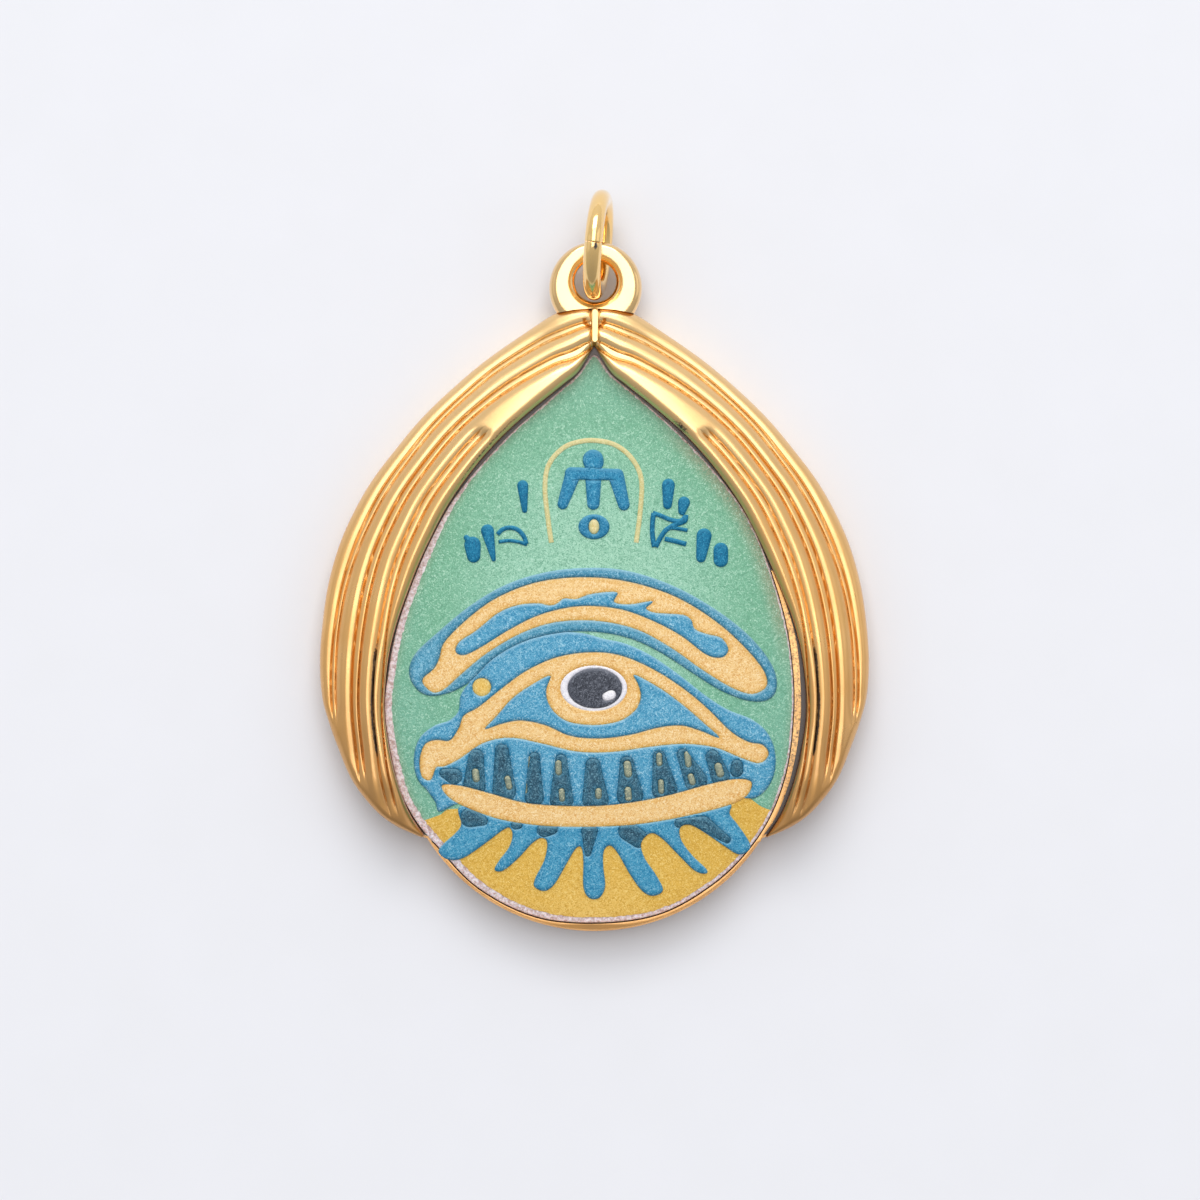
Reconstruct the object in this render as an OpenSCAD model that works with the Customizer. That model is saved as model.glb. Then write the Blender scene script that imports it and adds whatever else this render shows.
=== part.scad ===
/* [Casting] */
// Thickness of the flat back plate
plate_t = 0.8; // [0.7:0.05:0.9]
// Radius of the bowl at the bottom of the frame
bowl_r = 8.9; // [8.88:0.01:8.95]
// Height of the rim wall above the table
rim_top = 1.95; // [1.8:0.05:2.1]
// Height of the drapes beside the stone
drape_crest = 3.05; // [2.8:0.05:3.3]
// Height of the drapes along their outer edge
drape_edge = 1.75; // [1.6:0.05:1.9]
// Depth of the deepest flute
flute_depth = 0.42; // [0.3:0.02:0.5]

/* [Hanging eye] */
// Outer radius of the eye
eye_r = 2.09; // [2.05:0.01:2.1]
// Thickness of the eye
eye_t = 1.48; // [1.4:0.02:1.48]
// Radius of the hole
eye_hole_r = 0.92; // [0.91:0.01:0.94]
// How far the hole is set above the middle of the eye
eye_hole_lift = 0.3; // [0.28:0.01:0.32]
// Height of the middle of the eye above the table
eye_z = 1.65; // [1.62:0.01:1.68]

/* [Stone and print] */
// Height of the stone's dome above the table
stone_top = 2.85; // [2.75:0.05:2.95]
// Radius of the stone's gentle dome
dome_r = 70; // [68:1:80]
// Thickness of the glue under the stone
glue_t = 0.1; // [0.05:0.01:0.12]
// Thickness of the flat colour fields
field_t = 0.04; // [0.03:0.01:0.05]
// Thickness of the cream ink above the fields
cream_t = 0.05; // [0.04:0.01:0.06]
// Thickness of the raised blue ink above the fields
blue_t = 0.12; // [0.1:0.01:0.14]

/* [Jump ring] */
// Outer diameter of the ring
ring_od = 5; // [4.98:0.01:5]
// Diameter of the wire
wire_d = 0.8; // [0.78:0.01:0.8]
// Width of the split where the wire ends meet
split_w = 0.05; // [0.04:0.01:0.08]
// Lean of the ring from upright, in degrees
ring_lean = 6; // [5:0.5:6]
// Turn of the ring seen from above, in degrees
ring_yaw = 5; // [4:0.5:6]

/* [Hidden] */
$fn = 96;

gold = "#dca75c";
cream = "#f2cf96";
blue = "#4c9fc6";
navy = "#3a6278";
green = "#8cc3a6";
corn = "#e8bd5c";
resin = "#d8c8c4";
clear_glue = "#e9e3cf";

// ---- Curves ----

// Point i of a list, round the loop or stopped at its ends
function knot(p, i, closed) =
    closed ? p[(i + len(p)) % len(p)] : p[min(max(i, 0), len(p) - 1)];
// Catmull-Rom blend of four points
function blend4(a, b, c, d, t) =
    0.5 * (2 * b + (c - a) * t + (2 * a - 5 * b + 4 * c - d) * t * t
           + (3 * b - a - 3 * c + d) * t * t * t);
// Point of the smooth curve through the list p, s counted in points
function curve_at(p, s, closed = false) =
    let (i = floor(s))
    blend4(knot(p, i - 1, closed), knot(p, i, closed), knot(p, i + 1, closed),
           knot(p, i + 2, closed), s - i);
function loop_curve(p, n = 3) = [for (i = [0 : len(p) * n - 1]) curve_at(p, i / n, true)];
function open_curve(p, n = 3) = [for (i = [0 : (len(p) - 1) * n]) curve_at(p, i / n)];
function arc(c, r, a0, a1, n) =
    [for (i = [0 : n]) let (a = a0 + (a1 - a0) * i / n) c + r * [cos(a), sin(a)]];
function flip(p) = [for (i = [len(p) - 1 : -1 : 0]) [-p[i][0], p[i][1]]];
function backwards(p) = [for (i = [len(p) - 1 : -1 : 0]) p[i]];
function mix(a, b, t) = a * (1 - t) + b * t;
function smooth(t) = let (c = min(max(t, 0), 1)) c * c * (3 - 2 * c);
function bell(x) = exp(-x * x);
// Unit vector to the left of the way from a to b
function left_of(a, b) = let (d = (b - a) / norm(b - a)) [-d[1], d[0]];
// A clockwise loop grown outwards
function grown(p, by) =
    [for (i = [0 : len(p) - 1])
        p[i] + by * left_of(p[(i + len(p) - 1) % len(p)], p[(i + 1) % len(p)])];
// A stroke of even width along a curve
function stroke(p, w) =
    let (side = [for (i = [0 : len(p) - 1])
             w / 2 * left_of(p[max(i - 1, 0)], p[min(i + 1, len(p) - 1)])])
    concat([for (i = [0 : len(p) - 1]) p[i] + side[i]],
           backwards([for (i = [0 : len(p) - 1]) p[i] - side[i]]));
// A drop: round at both ends, radius ra at a and rb at b
function drop(a, b, ra, rb) =
    let (v = b - a, th = atan2(v[1], v[0]), k = acos((ra - rb) / norm(v)))
    concat(arc(a, ra, th + k, th + 360 - k, 9), arc(b, rb, th - k, th + k, 9));
function oval(c, half_w, half_h) =
    [for (i = [0 : 23]) c + [half_w * cos(15 * i), half_h * sin(15 * i)]];

// ---- Outlines of the frame ----

// Edges of the right drape, point for point from the apex to its lower tip: the true outer edge,
// the edge that the flutes would run on to, and the edge beside the stone
drape_outer = [[0, 17.42], [0.62, 17.9], [1.75, 18.05], [2.95, 17.3], [4.9, 15.95], [6.5, 14.6],
               [7.85, 13.28], [9.0, 11.9], [10.05, 10.5], [10.85, 9.1], [11.5, 7.6],
               [12.0, 5.8], [12.28, 3.8], [12.36, 2.2], [12.25, 0.8], [11.95, -0.3],
               [11.55, -1.4], [10.9, -2.9], [9.9, -4.2], [8.95, -4.95], [7.75, -5.5]];
flute_outer = [[0, 17.42], [0.62, 17.9], [1.75, 18.05], [2.95, 17.3], [4.9, 15.95], [6.5, 14.6],
               [7.85, 13.28], [9.0, 11.9], [10.05, 10.5], [10.85, 9.1], [11.5, 7.6],
               [12.0, 5.8], [12.3, 3.8], [12.42, 2.2], [12.46, 0.8], [12.4, -0.3],
               [12.3, -1.5], [12.1, -3.0], [11.8, -4.4], [11.5, -5.3], [11.2, -6.2]];
drape_inner = [[0, 16.6], [0.3, 16.25], [0.8, 15.5], [1.45, 14.95], [2.7, 13.95], [3.9, 12.9],
               [5.0, 11.75], [5.95, 10.55], [6.75, 9.35], [7.4, 8.1], [8.0, 6.8], [8.5, 5.5],
               [8.95, 4.2], [9.3, 2.8], [9.5, 1.2], [9.52, 0.0], [9.36, -1.2], [9.1, -2.5],
               [8.72, -3.7], [8.3, -4.6], [7.72, -5.45]];
collar_end = 2;
apex = [[0, 18.28], [0.95, 18.2]];
bowl_centre = [0, -0.85];
bowl_from = -32;

// Clockwise outline of the stone from its tip. It sits a little to the left in its well
stone_edge = [[0, 16.2], [0.75, 15.3], [2.0, 14.25], [4.0, 12.45], [6.0, 10.2], [7.2, 8.25],
              [8.05, 6.0], [8.62, 3.9], [8.9, 1.8], [8.92, 0.0], [8.68, -2.2], [8.0, -4.3],
              [6.9, -6.05], [5.3, -7.6], [3.0, -8.9], [0.3, -9.33], [-2.6, -9.07],
              [-5.2, -7.78], [-7.02, -5.93], [-8.12, -4.6], [-8.88, -2.9], [-9.4, 0.0],
              [-9.25, 1.9], [-8.86, 3.9], [-8.15, 6.0], [-7.15, 8.25], [-5.95, 10.2],
              [-3.95, 12.45], [-2.0, 14.2], [-0.75, 15.3]];
well_gap = 0.05;

// Outer side of the rim arm that holds the stone on the right, a dark slit away from the drape
rim_arm = [[7.45, -5.7], [7.65, -5.32], [8.05, -4.75], [8.4, -4.0], [8.76, -3.0], [9.0, -2.0],
           [9.17, -1.0], [9.28, 0.2], [9.25, 1.6], [9.15, 2.8], [8.95, 3.9], [8.5, 5.3],
           [8.0, 6.5]];

// Corners that close the arm's outline inside the well, which then cuts them away
arm_fill = [[6.0, 6.5], [5.0, -5.7]];

right_outline = open_curve(drape_outer, 2);
lower_right = [for (i = [2 * collar_end : len(right_outline) - 1]) right_outline[i]];
body_outline = concat(apex, lower_right,
                      arc(bowl_centre, bowl_r, bowl_from, -180 - bowl_from, 40),
                      flip(lower_right), [[-apex[1][0], apex[1][1]]]);
stone_outline = loop_curve(stone_edge, 2);
well_outline = grown(stone_outline, well_gap);

// ---- Frame casting ----

module back_plate() {
    color(gold)
        linear_extrude(plate_t)
            polygon(body_outline);
}

// Wall round the bowl, with an arm that runs up the right side of the stone
rim_span = [[-7.6, -5.6], [7.6, -5.6], [9.5, -12], [-9.5, -12]];

module rim_flat() {
    difference() {
        union() {
            intersection() {
                translate(bowl_centre)
                    circle(bowl_r, $fn = 256);
                polygon(rim_span);
            }
            polygon(concat(open_curve(rim_arm), arm_fill));
        }
        polygon(well_outline);
    }
}

module bottom_rim() {
    color(gold)
        translate([0, 0, plate_t])
            linear_extrude(rim_top - plate_t)
                rim_flat();
}

// Each flute is a dip across the drape. u is 0 beside the stone and 1 at the flutes' outer edge,
// and each row gives the four dips' places at one station between the apex and the lower tip
flute_stations = [0, 4, 8, 11, 15, 20];
flute_places = [[0.08, 0.20, 0.32, 0.68],
                [0.20, 0.34, 0.50, 0.86],
                [0.22, 0.38, 0.56, 0.86],
                [0.13, 0.30, 0.53, 0.77],
                [0.05, 0.175, 0.42, 0.775],
                [0.04, 0.16, 0.40, 0.775]];
flute_widths = [0.06, 0.04, 0.075, 0.05];
flute_shares = [0.75, 0.45, 1.0, 0.7];
edge_round = 0.34;
inner_roll = 0.6;
end_fade = 0.5;
narrow_w = 1.2;
face_bow = 1.7;
tip_crest = 2.45;
tip_run = 3;
apex_crest = 2.8;
apex_edge = 2.4;
apex_run = 5;
valley_depth = 0.5;
valley_w = 0.24;

function place_of(k, s) =
    let (i = len([for (f = flute_stations) if (f <= s) f]) - 1,
         from = min(i, len(flute_stations) - 2),
         t = (s - flute_stations[from]) / (flute_stations[from + 1] - flute_stations[from]))
    mix(flute_places[from][k], flute_places[from + 1][k], t);
function dips(u, s, k = 0) =
    k == len(flute_widths) ? 0
    : flute_shares[k] * bell((u - place_of(k, s)) / flute_widths[k]) + dips(u, s, k + 1);
// How far a rolled edge has dropped at a distance from it
function rolled(d) =
    d >= edge_round ? 0
    : edge_round - sqrt(pow(edge_round, 2) - pow(edge_round - max(d, 0), 2));
function drape_point(s, v) =
    let (a = curve_at(drape_inner, s),
         c = curve_at(drape_outer, s),
         w = norm(c - a),
         u = v * w / norm(curve_at(flute_outer, s) - a),
         to_rim = (1 - v) * w,
         to_tip = len(drape_outer) - 1 - s,
         crest = mix(tip_crest, mix(apex_crest, drape_crest, smooth(s / apex_run)),
                     smooth(to_tip / tip_run)),
         edge = mix(apex_edge, drape_edge, smooth(s / apex_run)),
         p = mix(a, c, v),
         top = mix(crest, edge, pow(u, face_bow)),
         dip = flute_depth * dips(u, s) * smooth(to_rim / end_fade) * smooth(w / narrow_w))
    [p[0], p[1], top - dip - rolled(to_rim) - inner_roll * rolled(v * w)
                 - valley_depth * bell(p[0] / valley_w)];

across = [0, 0.03, 0.07, 0.11, 0.15, 0.19, 0.23, 0.27, 0.31, 0.35, 0.39, 0.43, 0.46, 0.49, 0.52,
          0.55, 0.58, 0.62, 0.66, 0.7, 0.74, 0.78, 0.81, 0.84, 0.87, 0.9, 0.93, 0.96, 0.985, 1];

// Triangles from one corner to each stretch of a row of points
function fan(hub, row) = [for (k = [0 : len(row) - 2]) [hub, row[k], row[k + 1]]];

module drape() {
    m = len(across);
    rows = 2 * len(drape_outer) - 3;
    face_pts = [for (i = [0 : rows], v = across) drape_point(i / 2, v)];
    foot_pts = [for (p = face_pts) [p[0], p[1], plate_t]];
    n = len(face_pts);
    top = [for (i = [0 : rows - 1], j = [0 : m - 2])
        each [[i * m + j, i * m + j + 1, (i + 1) * m + j + 1],
              [i * m + j, (i + 1) * m + j + 1, (i + 1) * m + j]]];
    edge = concat([for (j = [0 : m - 1]) j],
                  [for (i = [1 : rows]) i * m + m - 1],
                  [for (j = [m - 2 : -1 : 0]) rows * m + j],
                  [for (i = [rows - 1 : -1 : 1]) i * m]);
    sides = [for (k = [0 : len(edge) - 1])
        let (a = edge[k], b = edge[(k + 1) % len(edge)])
        each [[b, a, n + a], [b, n + a, n + b]]];
    foot = concat(
        fan(n + m, concat([n + 2 * m - 1], [for (j = [m - 1 : -1 : 0]) n + j])),
        [for (i = [1 : rows - 2])
            each fan(n + i * m, [n + (i + 1) * m, n + (i + 2) * m - 1, n + (i + 1) * m - 1])],
        fan(n + (rows - 1) * m,
            concat([for (j = [0 : m - 1]) n + rows * m + j], [n + rows * m - 1])));
    polyhedron(concat(face_pts, foot_pts), concat(top, foot, sides));
}

module right_drape() {
    color(gold)
        drape();
}

module left_drape() {
    color(gold)
        mirror([1, 0, 0])
            drape();
}

// Folded collar that fills the notch between the drapes, under the eye
collar_gap = 0.03;
collar_top = 2.55;

module apex_collar() {
    fold = [for (i = [0 : 5]) curve_at(drape_outer, i / 4) + [0, collar_gap]];
    corner = apex[1];
    color(gold)
        translate([0, 0, plate_t])
            linear_extrude(collar_top - plate_t)
                polygon(concat(fold, [corner, apex[0], [-corner[0], corner[1]]],
                               [for (i = [5 : -1 : 1]) [-fold[i][0], fold[i][1]]]));
}

// ---- Hanging eye ----

eye_pos = [0.05, 19.2];
eye_half = eye_t / 2;
bar_y = eye_pos[1] + (eye_hole_lift + eye_hole_r + eye_r) / 2;
bar_half_w = (eye_r - eye_hole_lift - eye_hole_r) / 2;

// A quarter-round with full shoulders
function full(c) = sign(c) * pow(abs(c), 2 / 3);
function side_profile(r_mid, half_w) =
    [for (i = [0 : 16])
        let (a = -90 + 180 * i / 16)
        [r_mid + half_w * full(cos(a)), eye_half * full(sin(a))]];

module hanging_eye() {
    color(gold)
        difference() {
            translate([eye_pos[0], eye_pos[1], eye_z])
                rotate_extrude()
                    polygon(concat([[0, -eye_half]],
                                   side_profile(eye_r - bar_half_w, bar_half_w),
                                   [[0, eye_half]]));
            translate([eye_pos[0], eye_pos[1] + eye_hole_lift, eye_z])
                rotate_extrude()
                    polygon(concat([[0, -eye_t], [eye_hole_r + bar_half_w, -eye_t]],
                                   side_profile(eye_hole_r + bar_half_w, -bar_half_w),
                                   [[eye_hole_r + bar_half_w, eye_t], [0, eye_t]]));
            linear_extrude(eye_z + eye_t)
                polygon(body_outline);
        }
}

// ---- Stone and print ----

dome_y = 3;
dome_foot = 1.2;
glue_spread = 0.94;

module dome_solid(z) {
    translate([0, dome_y, stone_top - dome_r])
        sphere(dome_r + z, $fn = 256);
}

module glue_bed() {
    color(clear_glue)
        translate([0, dome_y, plate_t])
            linear_extrude(glue_t)
                scale(glue_spread)
                    translate([0, -dome_y])
                        polygon(stone_outline);
}

module stone() {
    color(resin)
        intersection() {
            translate([0, 0, plate_t + glue_t])
                linear_extrude(stone_top)
                    polygon(stone_outline);
            dome_solid(0);
        }
}

// A layer of ink on the dome, between two heights above the stone
module ink(from, to) {
    intersection() {
        translate([0, 0, dome_foot])
            linear_extrude(stone_top)
                children();
        difference() {
            dome_solid(to);
            dome_solid(from);
        }
    }
}
module cream_ink() {
    ink(field_t, field_t + cream_t)
        children();
}
module blue_ink() {
    ink(field_t, field_t + blue_t)
        children();
}

// The printed area stops short of the stone's edge and lies a little to the right on it
print_inset = 0.2;
print_shift = [0.12, 0.05];
print_outline = [for (p = grown(stone_outline, -print_inset)) p + print_shift];
// Line between the green and the gold field, and two corners below the gold one
field_line = [[-10, -4.9], [-8.2, -4.85], [-7.0, -4.5], [-6.2, -4.2], [-3, -4.6], [0, -4.75],
              [4, -4.35], [6.3, -3.75], [6.9, -3.7], [7.5, -4.1], [8.2, -4.3], [10, -4.4]];
print_foot = [[10, -12], [-10, -12]];

module green_field_ink() {
    color(green)
        ink(0, field_t)
            difference() {
                polygon(print_outline);
                polygon(concat(open_curve(field_line), print_foot));
            }
}

module gold_field_ink() {
    color(corn)
        ink(0, field_t)
            intersection() {
                polygon(print_outline);
                polygon(concat(open_curve(field_line), print_foot));
            }
}

// Thin arch over the sprout
arch_line = [[-1.93, 7.75], [-2.08, 8.8], [-2.22, 10.2], [-2.05, 11.25], [-1.4, 12.0],
             [-0.6, 12.3], [0.2, 12.32], [1.0, 12.1], [1.7, 11.5], [2.1, 10.6], [2.06, 9.2],
             [1.87, 7.75]];
arch_w = 0.2;

module arch_ink() {
    color(cream)
        cream_ink()
            polygon(stroke(open_curve(arch_line), arch_w));
}

// Brow: a blue band round a cream leaf with a blue streak in it
brow_outer = [[-8.0, 1.2], [-8.32, 1.9], [-8.05, 2.75], [-7.0, 3.75], [-5.6, 4.9], [-4.0, 5.85],
              [-2.2, 6.42], [-0.3, 6.62], [1.4, 6.5], [3.2, 5.95], [4.8, 5.15], [6.4, 4.05],
              [7.5, 2.95], [8.1, 1.95], [8.15, 1.1], [7.7, 0.66], [6.8, 0.68], [5.6, 1.15],
              [4.4, 1.9], [3.0, 2.8], [1.6, 3.45], [0, 3.75], [-1.6, 3.7], [-3.2, 3.3],
              [-4.6, 2.5], [-5.6, 1.5], [-6.5, 1.02], [-7.4, 0.88]];
brow_cream = [[-7.6, 1.3], [-7.7, 1.65], [-7.2, 2.1], [-6.95, 2.6], [-6.75, 3.25], [-5.9, 4.15],
              [-4.6, 5.15], [-3.0, 5.86], [-1.3, 6.17], [0.6, 6.15], [2.4, 5.78], [4.0, 5.15],
              [5.6, 4.1], [6.8, 3.0], [7.6, 2.0], [7.72, 1.3], [7.1, 0.96], [6.2, 1.22],
              [4.9, 2.0], [3.4, 3.05], [1.9, 3.85], [0.2, 4.23], [-1.6, 4.2], [-3.2, 3.72],
              [-4.8, 2.8], [-6.0, 1.82], [-6.7, 1.2], [-7.2, 1.02]];
brow_streak = [[-6.22, 2.85], [-6.05, 3.3], [-5.3, 3.8], [-4.3, 4.6], [-3.4, 4.95],
               [-2.5, 5.02], [-2.05, 4.93], [-1.7, 5.0], [-1.35, 5.24], [-0.8, 5.22],
               [-0.1, 5.45], [1.0, 5.52], [0.88, 5.08], [1.6, 4.98], [2.6, 5.12], [2.32, 4.8],
               [2.75, 4.6], [3.9, 4.52], [4.32, 4.3], [4.5, 3.88], [5.0, 3.66], [5.7, 3.46],
               [6.0, 2.95], [5.7, 2.6], [5.0, 2.74], [4.0, 3.5], [2.9, 4.12], [1.5, 4.68],
               [0.2, 4.9], [-1.1, 4.86], [-2.5, 4.5], [-3.8, 3.86], [-5.0, 3.12], [-5.8, 2.72]];

module brow_ink() {
    color(cream)
        cream_ink()
            difference() {
                polygon(loop_curve(brow_cream));
                polygon(loop_curve(brow_streak));
            }
}

module brow_band_ink() {
    color(blue)
        blue_ink()
            difference() {
                polygon(loop_curve(brow_outer));
                polygon(loop_curve(brow_cream));
            }
}

module brow_streak_ink() {
    color(blue)
        blue_ink()
            polygon(loop_curve(brow_streak));
}

// Eye: a cream line round the lids and the eyeball, filled with blue, with a white and a pupil
eye_line = [[-6.1, -0.6], [-5.85, 0.0], [-5.2, 0.38], [-4.2, 1.18], [-3.1, 1.98], [-1.8, 2.58],
            [-0.4, 2.83], [1.0, 2.74], [2.4, 2.2], [3.8, 1.35], [5.0, 0.38], [6.1, -0.7],
            [6.9, -1.18], [7.55, -1.32], [7.82, -1.75], [7.4, -2.15], [6.5, -1.88],
            [5.4, -1.44], [4.0, -1.28], [2.4, -1.42], [0.8, -1.64], [-0.8, -1.62],
            [-2.4, -1.25], [-3.8, -1.0], [-5.0, -1.25], [-6.0, -1.92], [-6.7, -2.28],
            [-7.1, -2.35], [-7.35, -2.9], [-7.75, -2.75], [-7.85, -2.0], [-7.6, -1.3],
            [-7.1, -1.1], [-6.5, -1.12]];
eye_fill = [[-4.9, -0.6], [-4.4, -0.05], [-3.7, 0.74], [-2.9, 1.32], [-2.0, 1.78],
            [-2.15, 1.2], [-2.1, 0.65], [-1.75, 0.1], [-1.1, -0.3], [0, -0.43], [1.1, -0.26],
            [1.8, 0.2], [2.08, 0.8], [1.98, 1.35], [1.8, 1.82], [2.9, 1.24], [3.9, 0.52],
            [4.8, -0.25], [5.6, -1.0], [4.7, -0.66], [3.9, -0.45], [2.9, -0.53], [1.6, -0.86],
            [0.2, -1.03], [-1.1, -0.9], [-2.2, -0.43], [-3.3, -0.22], [-4.2, -0.38]];
pupil_pos = [0.02, 1.22];
sclera_pos = [-0.03, 1.22];
glint_at = [[0.55, 0.84], [0.75, 0.92]];
bead_pos = [-5.05, 1.27];

module pupil_flat() {
    polygon(oval(pupil_pos, 1.22, 0.9));
}
module sclera_flat() {
    polygon(oval(sclera_pos, 1.5, 1.02));
}
module glint_flat() {
    polygon(drop(glint_at[0], glint_at[1], 0.2, 0.22));
}
module bead_flat() {
    polygon(oval(bead_pos, 0.42, 0.41));
}

module eye_line_ink() {
    color(cream)
        cream_ink()
            difference() {
                polygon(loop_curve(eye_line));
                polygon(loop_curve(eye_fill));
                sclera_flat();
            }
}

module eye_fill_ink() {
    color(blue)
        blue_ink()
            polygon(loop_curve(eye_fill));
}

module sclera_ink() {
    color("white")
        cream_ink()
            difference() {
                sclera_flat();
                pupil_flat();
            }
}

module pupil_ink() {
    color("#3a3d47")
        blue_ink()
            difference() {
                pupil_flat();
                glint_flat();
            }
}

module glint_ink() {
    color("white")
        blue_ink()
            glint_flat();
}

module corner_bead_ink() {
    color(cream)
        cream_ink()
            bead_flat();
}

// Lower lid: a cream crescent under the teeth
lower_lid = [[-6.85, -3.15], [-6.0, -3.16], [-4.6, -3.52], [-3.2, -3.9], [-1.6, -4.05],
             [0.2, -4.05], [1.8, -3.88], [3.4, -3.56], [5.0, -3.12], [6.2, -2.87],
             [6.95, -2.92], [7.05, -3.25], [6.72, -3.72], [5.9, -4.08], [4.6, -4.42],
             [3.0, -4.74], [1.3, -4.95], [-0.6, -5.0], [-2.4, -4.95], [-4.2, -4.68],
             [-5.6, -4.2], [-6.5, -3.72]];

module lower_lid_ink() {
    color(cream)
        cream_ink()
            polygon(loop_curve(lower_lid));
}

// Teeth: dark drops hung between the lids, [upper end, lower end, upper radius, lower radius]
teeth = [[[-6.75, -2.6], [-6.3, -2.75], 0.2, 0.36], [[-5.3, -1.86], [-5.4, -3.2], 0.33, 0.5],
         [[-4.15, -1.6], [-4.05, -3.4], 0.3, 0.52], [[-2.7, -1.9], [-2.7, -3.7], 0.24, 0.42],
         [[-1.5, -2.0], [-1.47, -3.8], 0.25, 0.52], [[-0.07, -2.25], [0.05, -3.8], 0.32, 0.58],
         [[1.45, -2.15], [1.6, -3.6], 0.3, 0.58], [[2.9, -1.86], [3.15, -3.35], 0.27, 0.56],
         [[3.95, -1.76], [4.55, -2.95], 0.25, 0.5], [[5.3, -1.86], [5.65, -2.75], 0.3, 0.42],
         [[6.4, -2.25], [6.38, -2.5], 0.25, 0.28]];
// Seeds on the teeth: [upper end, lower end, radius]
seeds = [[[-5.34, -2.55], [-5.3, -2.85], 0.16], [[-3.9, -2.85], [-3.82, -3.2], 0.14],
         [[-3.02, -1.9], [-3.06, -2.25], 0.13], [[-3.12, -3.15], [-3.12, -3.4], 0.11],
         [[-1.62, -2.15], [-1.6, -2.55], 0.14], [[-1.47, -3.4], [-1.45, -3.75], 0.13],
         [[0.18, -3.4], [0.18, -3.62], 0.14], [[1.47, -2.2], [1.52, -2.62], 0.17],
         [[1.5, -3.35], [1.53, -3.7], 0.15], [[2.9, -1.8], [2.92, -2.15], 0.13],
         [[2.98, -3.0], [3.0, -3.4], 0.13], [[4.16, -1.75], [4.22, -2.2], 0.14],
         [[4.32, -2.75], [4.4, -3.0], 0.14], [[5.55, -2.3], [5.65, -2.62], 0.17]];

module teeth_flat() {
    difference() {
        for (t = teeth)
            polygon(drop(t[0], t[1], t[2], t[3]));
        polygon(loop_curve(eye_line));
        polygon(loop_curve(lower_lid));
    }
}
module seeds_flat() {
    for (s = seeds)
        polygon(drop(s[0], s[1], s[2] + 0.001, s[2]));
}

module teeth_ink() {
    color(navy)
        blue_ink()
            difference() {
                teeth_flat();
                seeds_flat();
            }
}

module seed_ink() {
    color(cream) {
        blue_ink()
            intersection() {
                seeds_flat();
                teeth_flat();
            }
        blue_ink()
            polygon(oval(sprout_eye, 0.24, 0.34));
    }
}

// Lid: the blue that the eye lies in, from the brow down to the lower lid
lid = [[-6.1, -3.95], [-6.95, -4.33], [-7.15, -3.9], [-7.5, -3.4], [-7.9, -2.95],
       [-8.1, -2.3], [-8.05, -1.5], [-7.75, -0.9], [-7.15, -0.45], [-6.5, -0.22], [-6.1, 0.2],
       [-6.0, 0.9], [-5.6, 1.5], [-5.0, 2.3], [-3.6, 3.4], [-2.0, 3.72], [-0.6, 3.7],
       [0.4, 3.44], [1.4, 3.22], [2.6, 2.65], [3.8, 1.82], [5.0, 0.88], [6.0, 0.25],
       [7.0, -0.15], [7.7, -0.7], [8.08, -1.5], [8.12, -2.4], [7.85, -3.15], [7.35, -3.65],
       [6.8, -3.72], [5.6, -3.5], [3.0, -4.2], [0, -4.5], [-3.0, -4.35], [-5.0, -3.85]];

module lid_ink() {
    color(blue)
        blue_ink()
            difference() {
                polygon(loop_curve(lid));
                polygon(loop_curve(brow_outer));
                polygon(loop_curve(eye_line));
                polygon(loop_curve(lower_lid));
                teeth_flat();
                bead_flat();
            }
}

// Lashes: seven blue rays that fan out below the lower lid, with dark roots
lashes = [[-5.9, -4.05], [-5.98, -4.9], [-6.25, -5.3], [-6.8, -5.8], [-7.0, -6.15],
          [-6.6, -6.48], [-5.9, -6.42], [-4.9, -5.75], [-4.15, -5.18], [-3.8, -5.05],
          [-3.68, -5.4], [-3.85, -5.95], [-4.3, -6.55], [-4.48, -6.95], [-4.1, -6.98],
          [-3.4, -6.4], [-2.8, -5.75], [-2.35, -5.5], [-2.12, -5.75], [-2.25, -6.5],
          [-2.65, -7.3], [-2.7, -7.7], [-2.25, -7.9], [-1.8, -7.6], [-1.3, -6.75],
          [-0.85, -6.0], [-0.58, -5.95], [-0.5, -6.6], [-0.5, -7.7], [-0.25, -8.2],
          [0.2, -8.22], [0.48, -7.7], [0.4, -6.8], [0.42, -6.1], [0.7, -5.85], [1.05, -6.2],
          [1.6, -7.15], [2.15, -7.9], [2.65, -8.12], [3.08, -7.85], [2.75, -7.15],
          [2.25, -6.4], [2.1, -5.75], [2.5, -5.3], [3.0, -5.5], [3.8, -6.3], [4.5, -6.98],
          [5.0, -7.12], [5.02, -6.9], [4.4, -6.3], [3.9, -5.6], [3.85, -5.05], [4.3, -4.92],
          [5.0, -5.3], [5.8, -5.85], [6.45, -6.25], [6.9, -6.1], [6.98, -5.75], [6.5, -5.0],
          [6.08, -4.45], [5.9, -3.95], [3.0, -4.4], [0, -4.7], [-3, -4.6]];
lash_roots = [[[-5.6, -4.6], [-5.0, -4.75], 0.42, 0.2], [[-3.55, -4.95], [-3.4, -4.95], 0.18, 0.15],
              [[-2.25, -5.15], [-1.9, -5.1], 0.32, 0.25], [[-0.22, -5.2], [-0.3, -6.2], 0.36, 0.14],
              [[1.5, -5.2], [2.0, -5.55], 0.42, 0.4], [[3.8, -4.85], [4.9, -4.85], 0.2, 0.32],
              [[5.1, -5.0], [5.95, -5.6], 0.3, 0.16]];

module roots_flat() {
    for (r = lash_roots)
        polygon(drop(r[0], r[1], r[2], r[3]));
}

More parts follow.
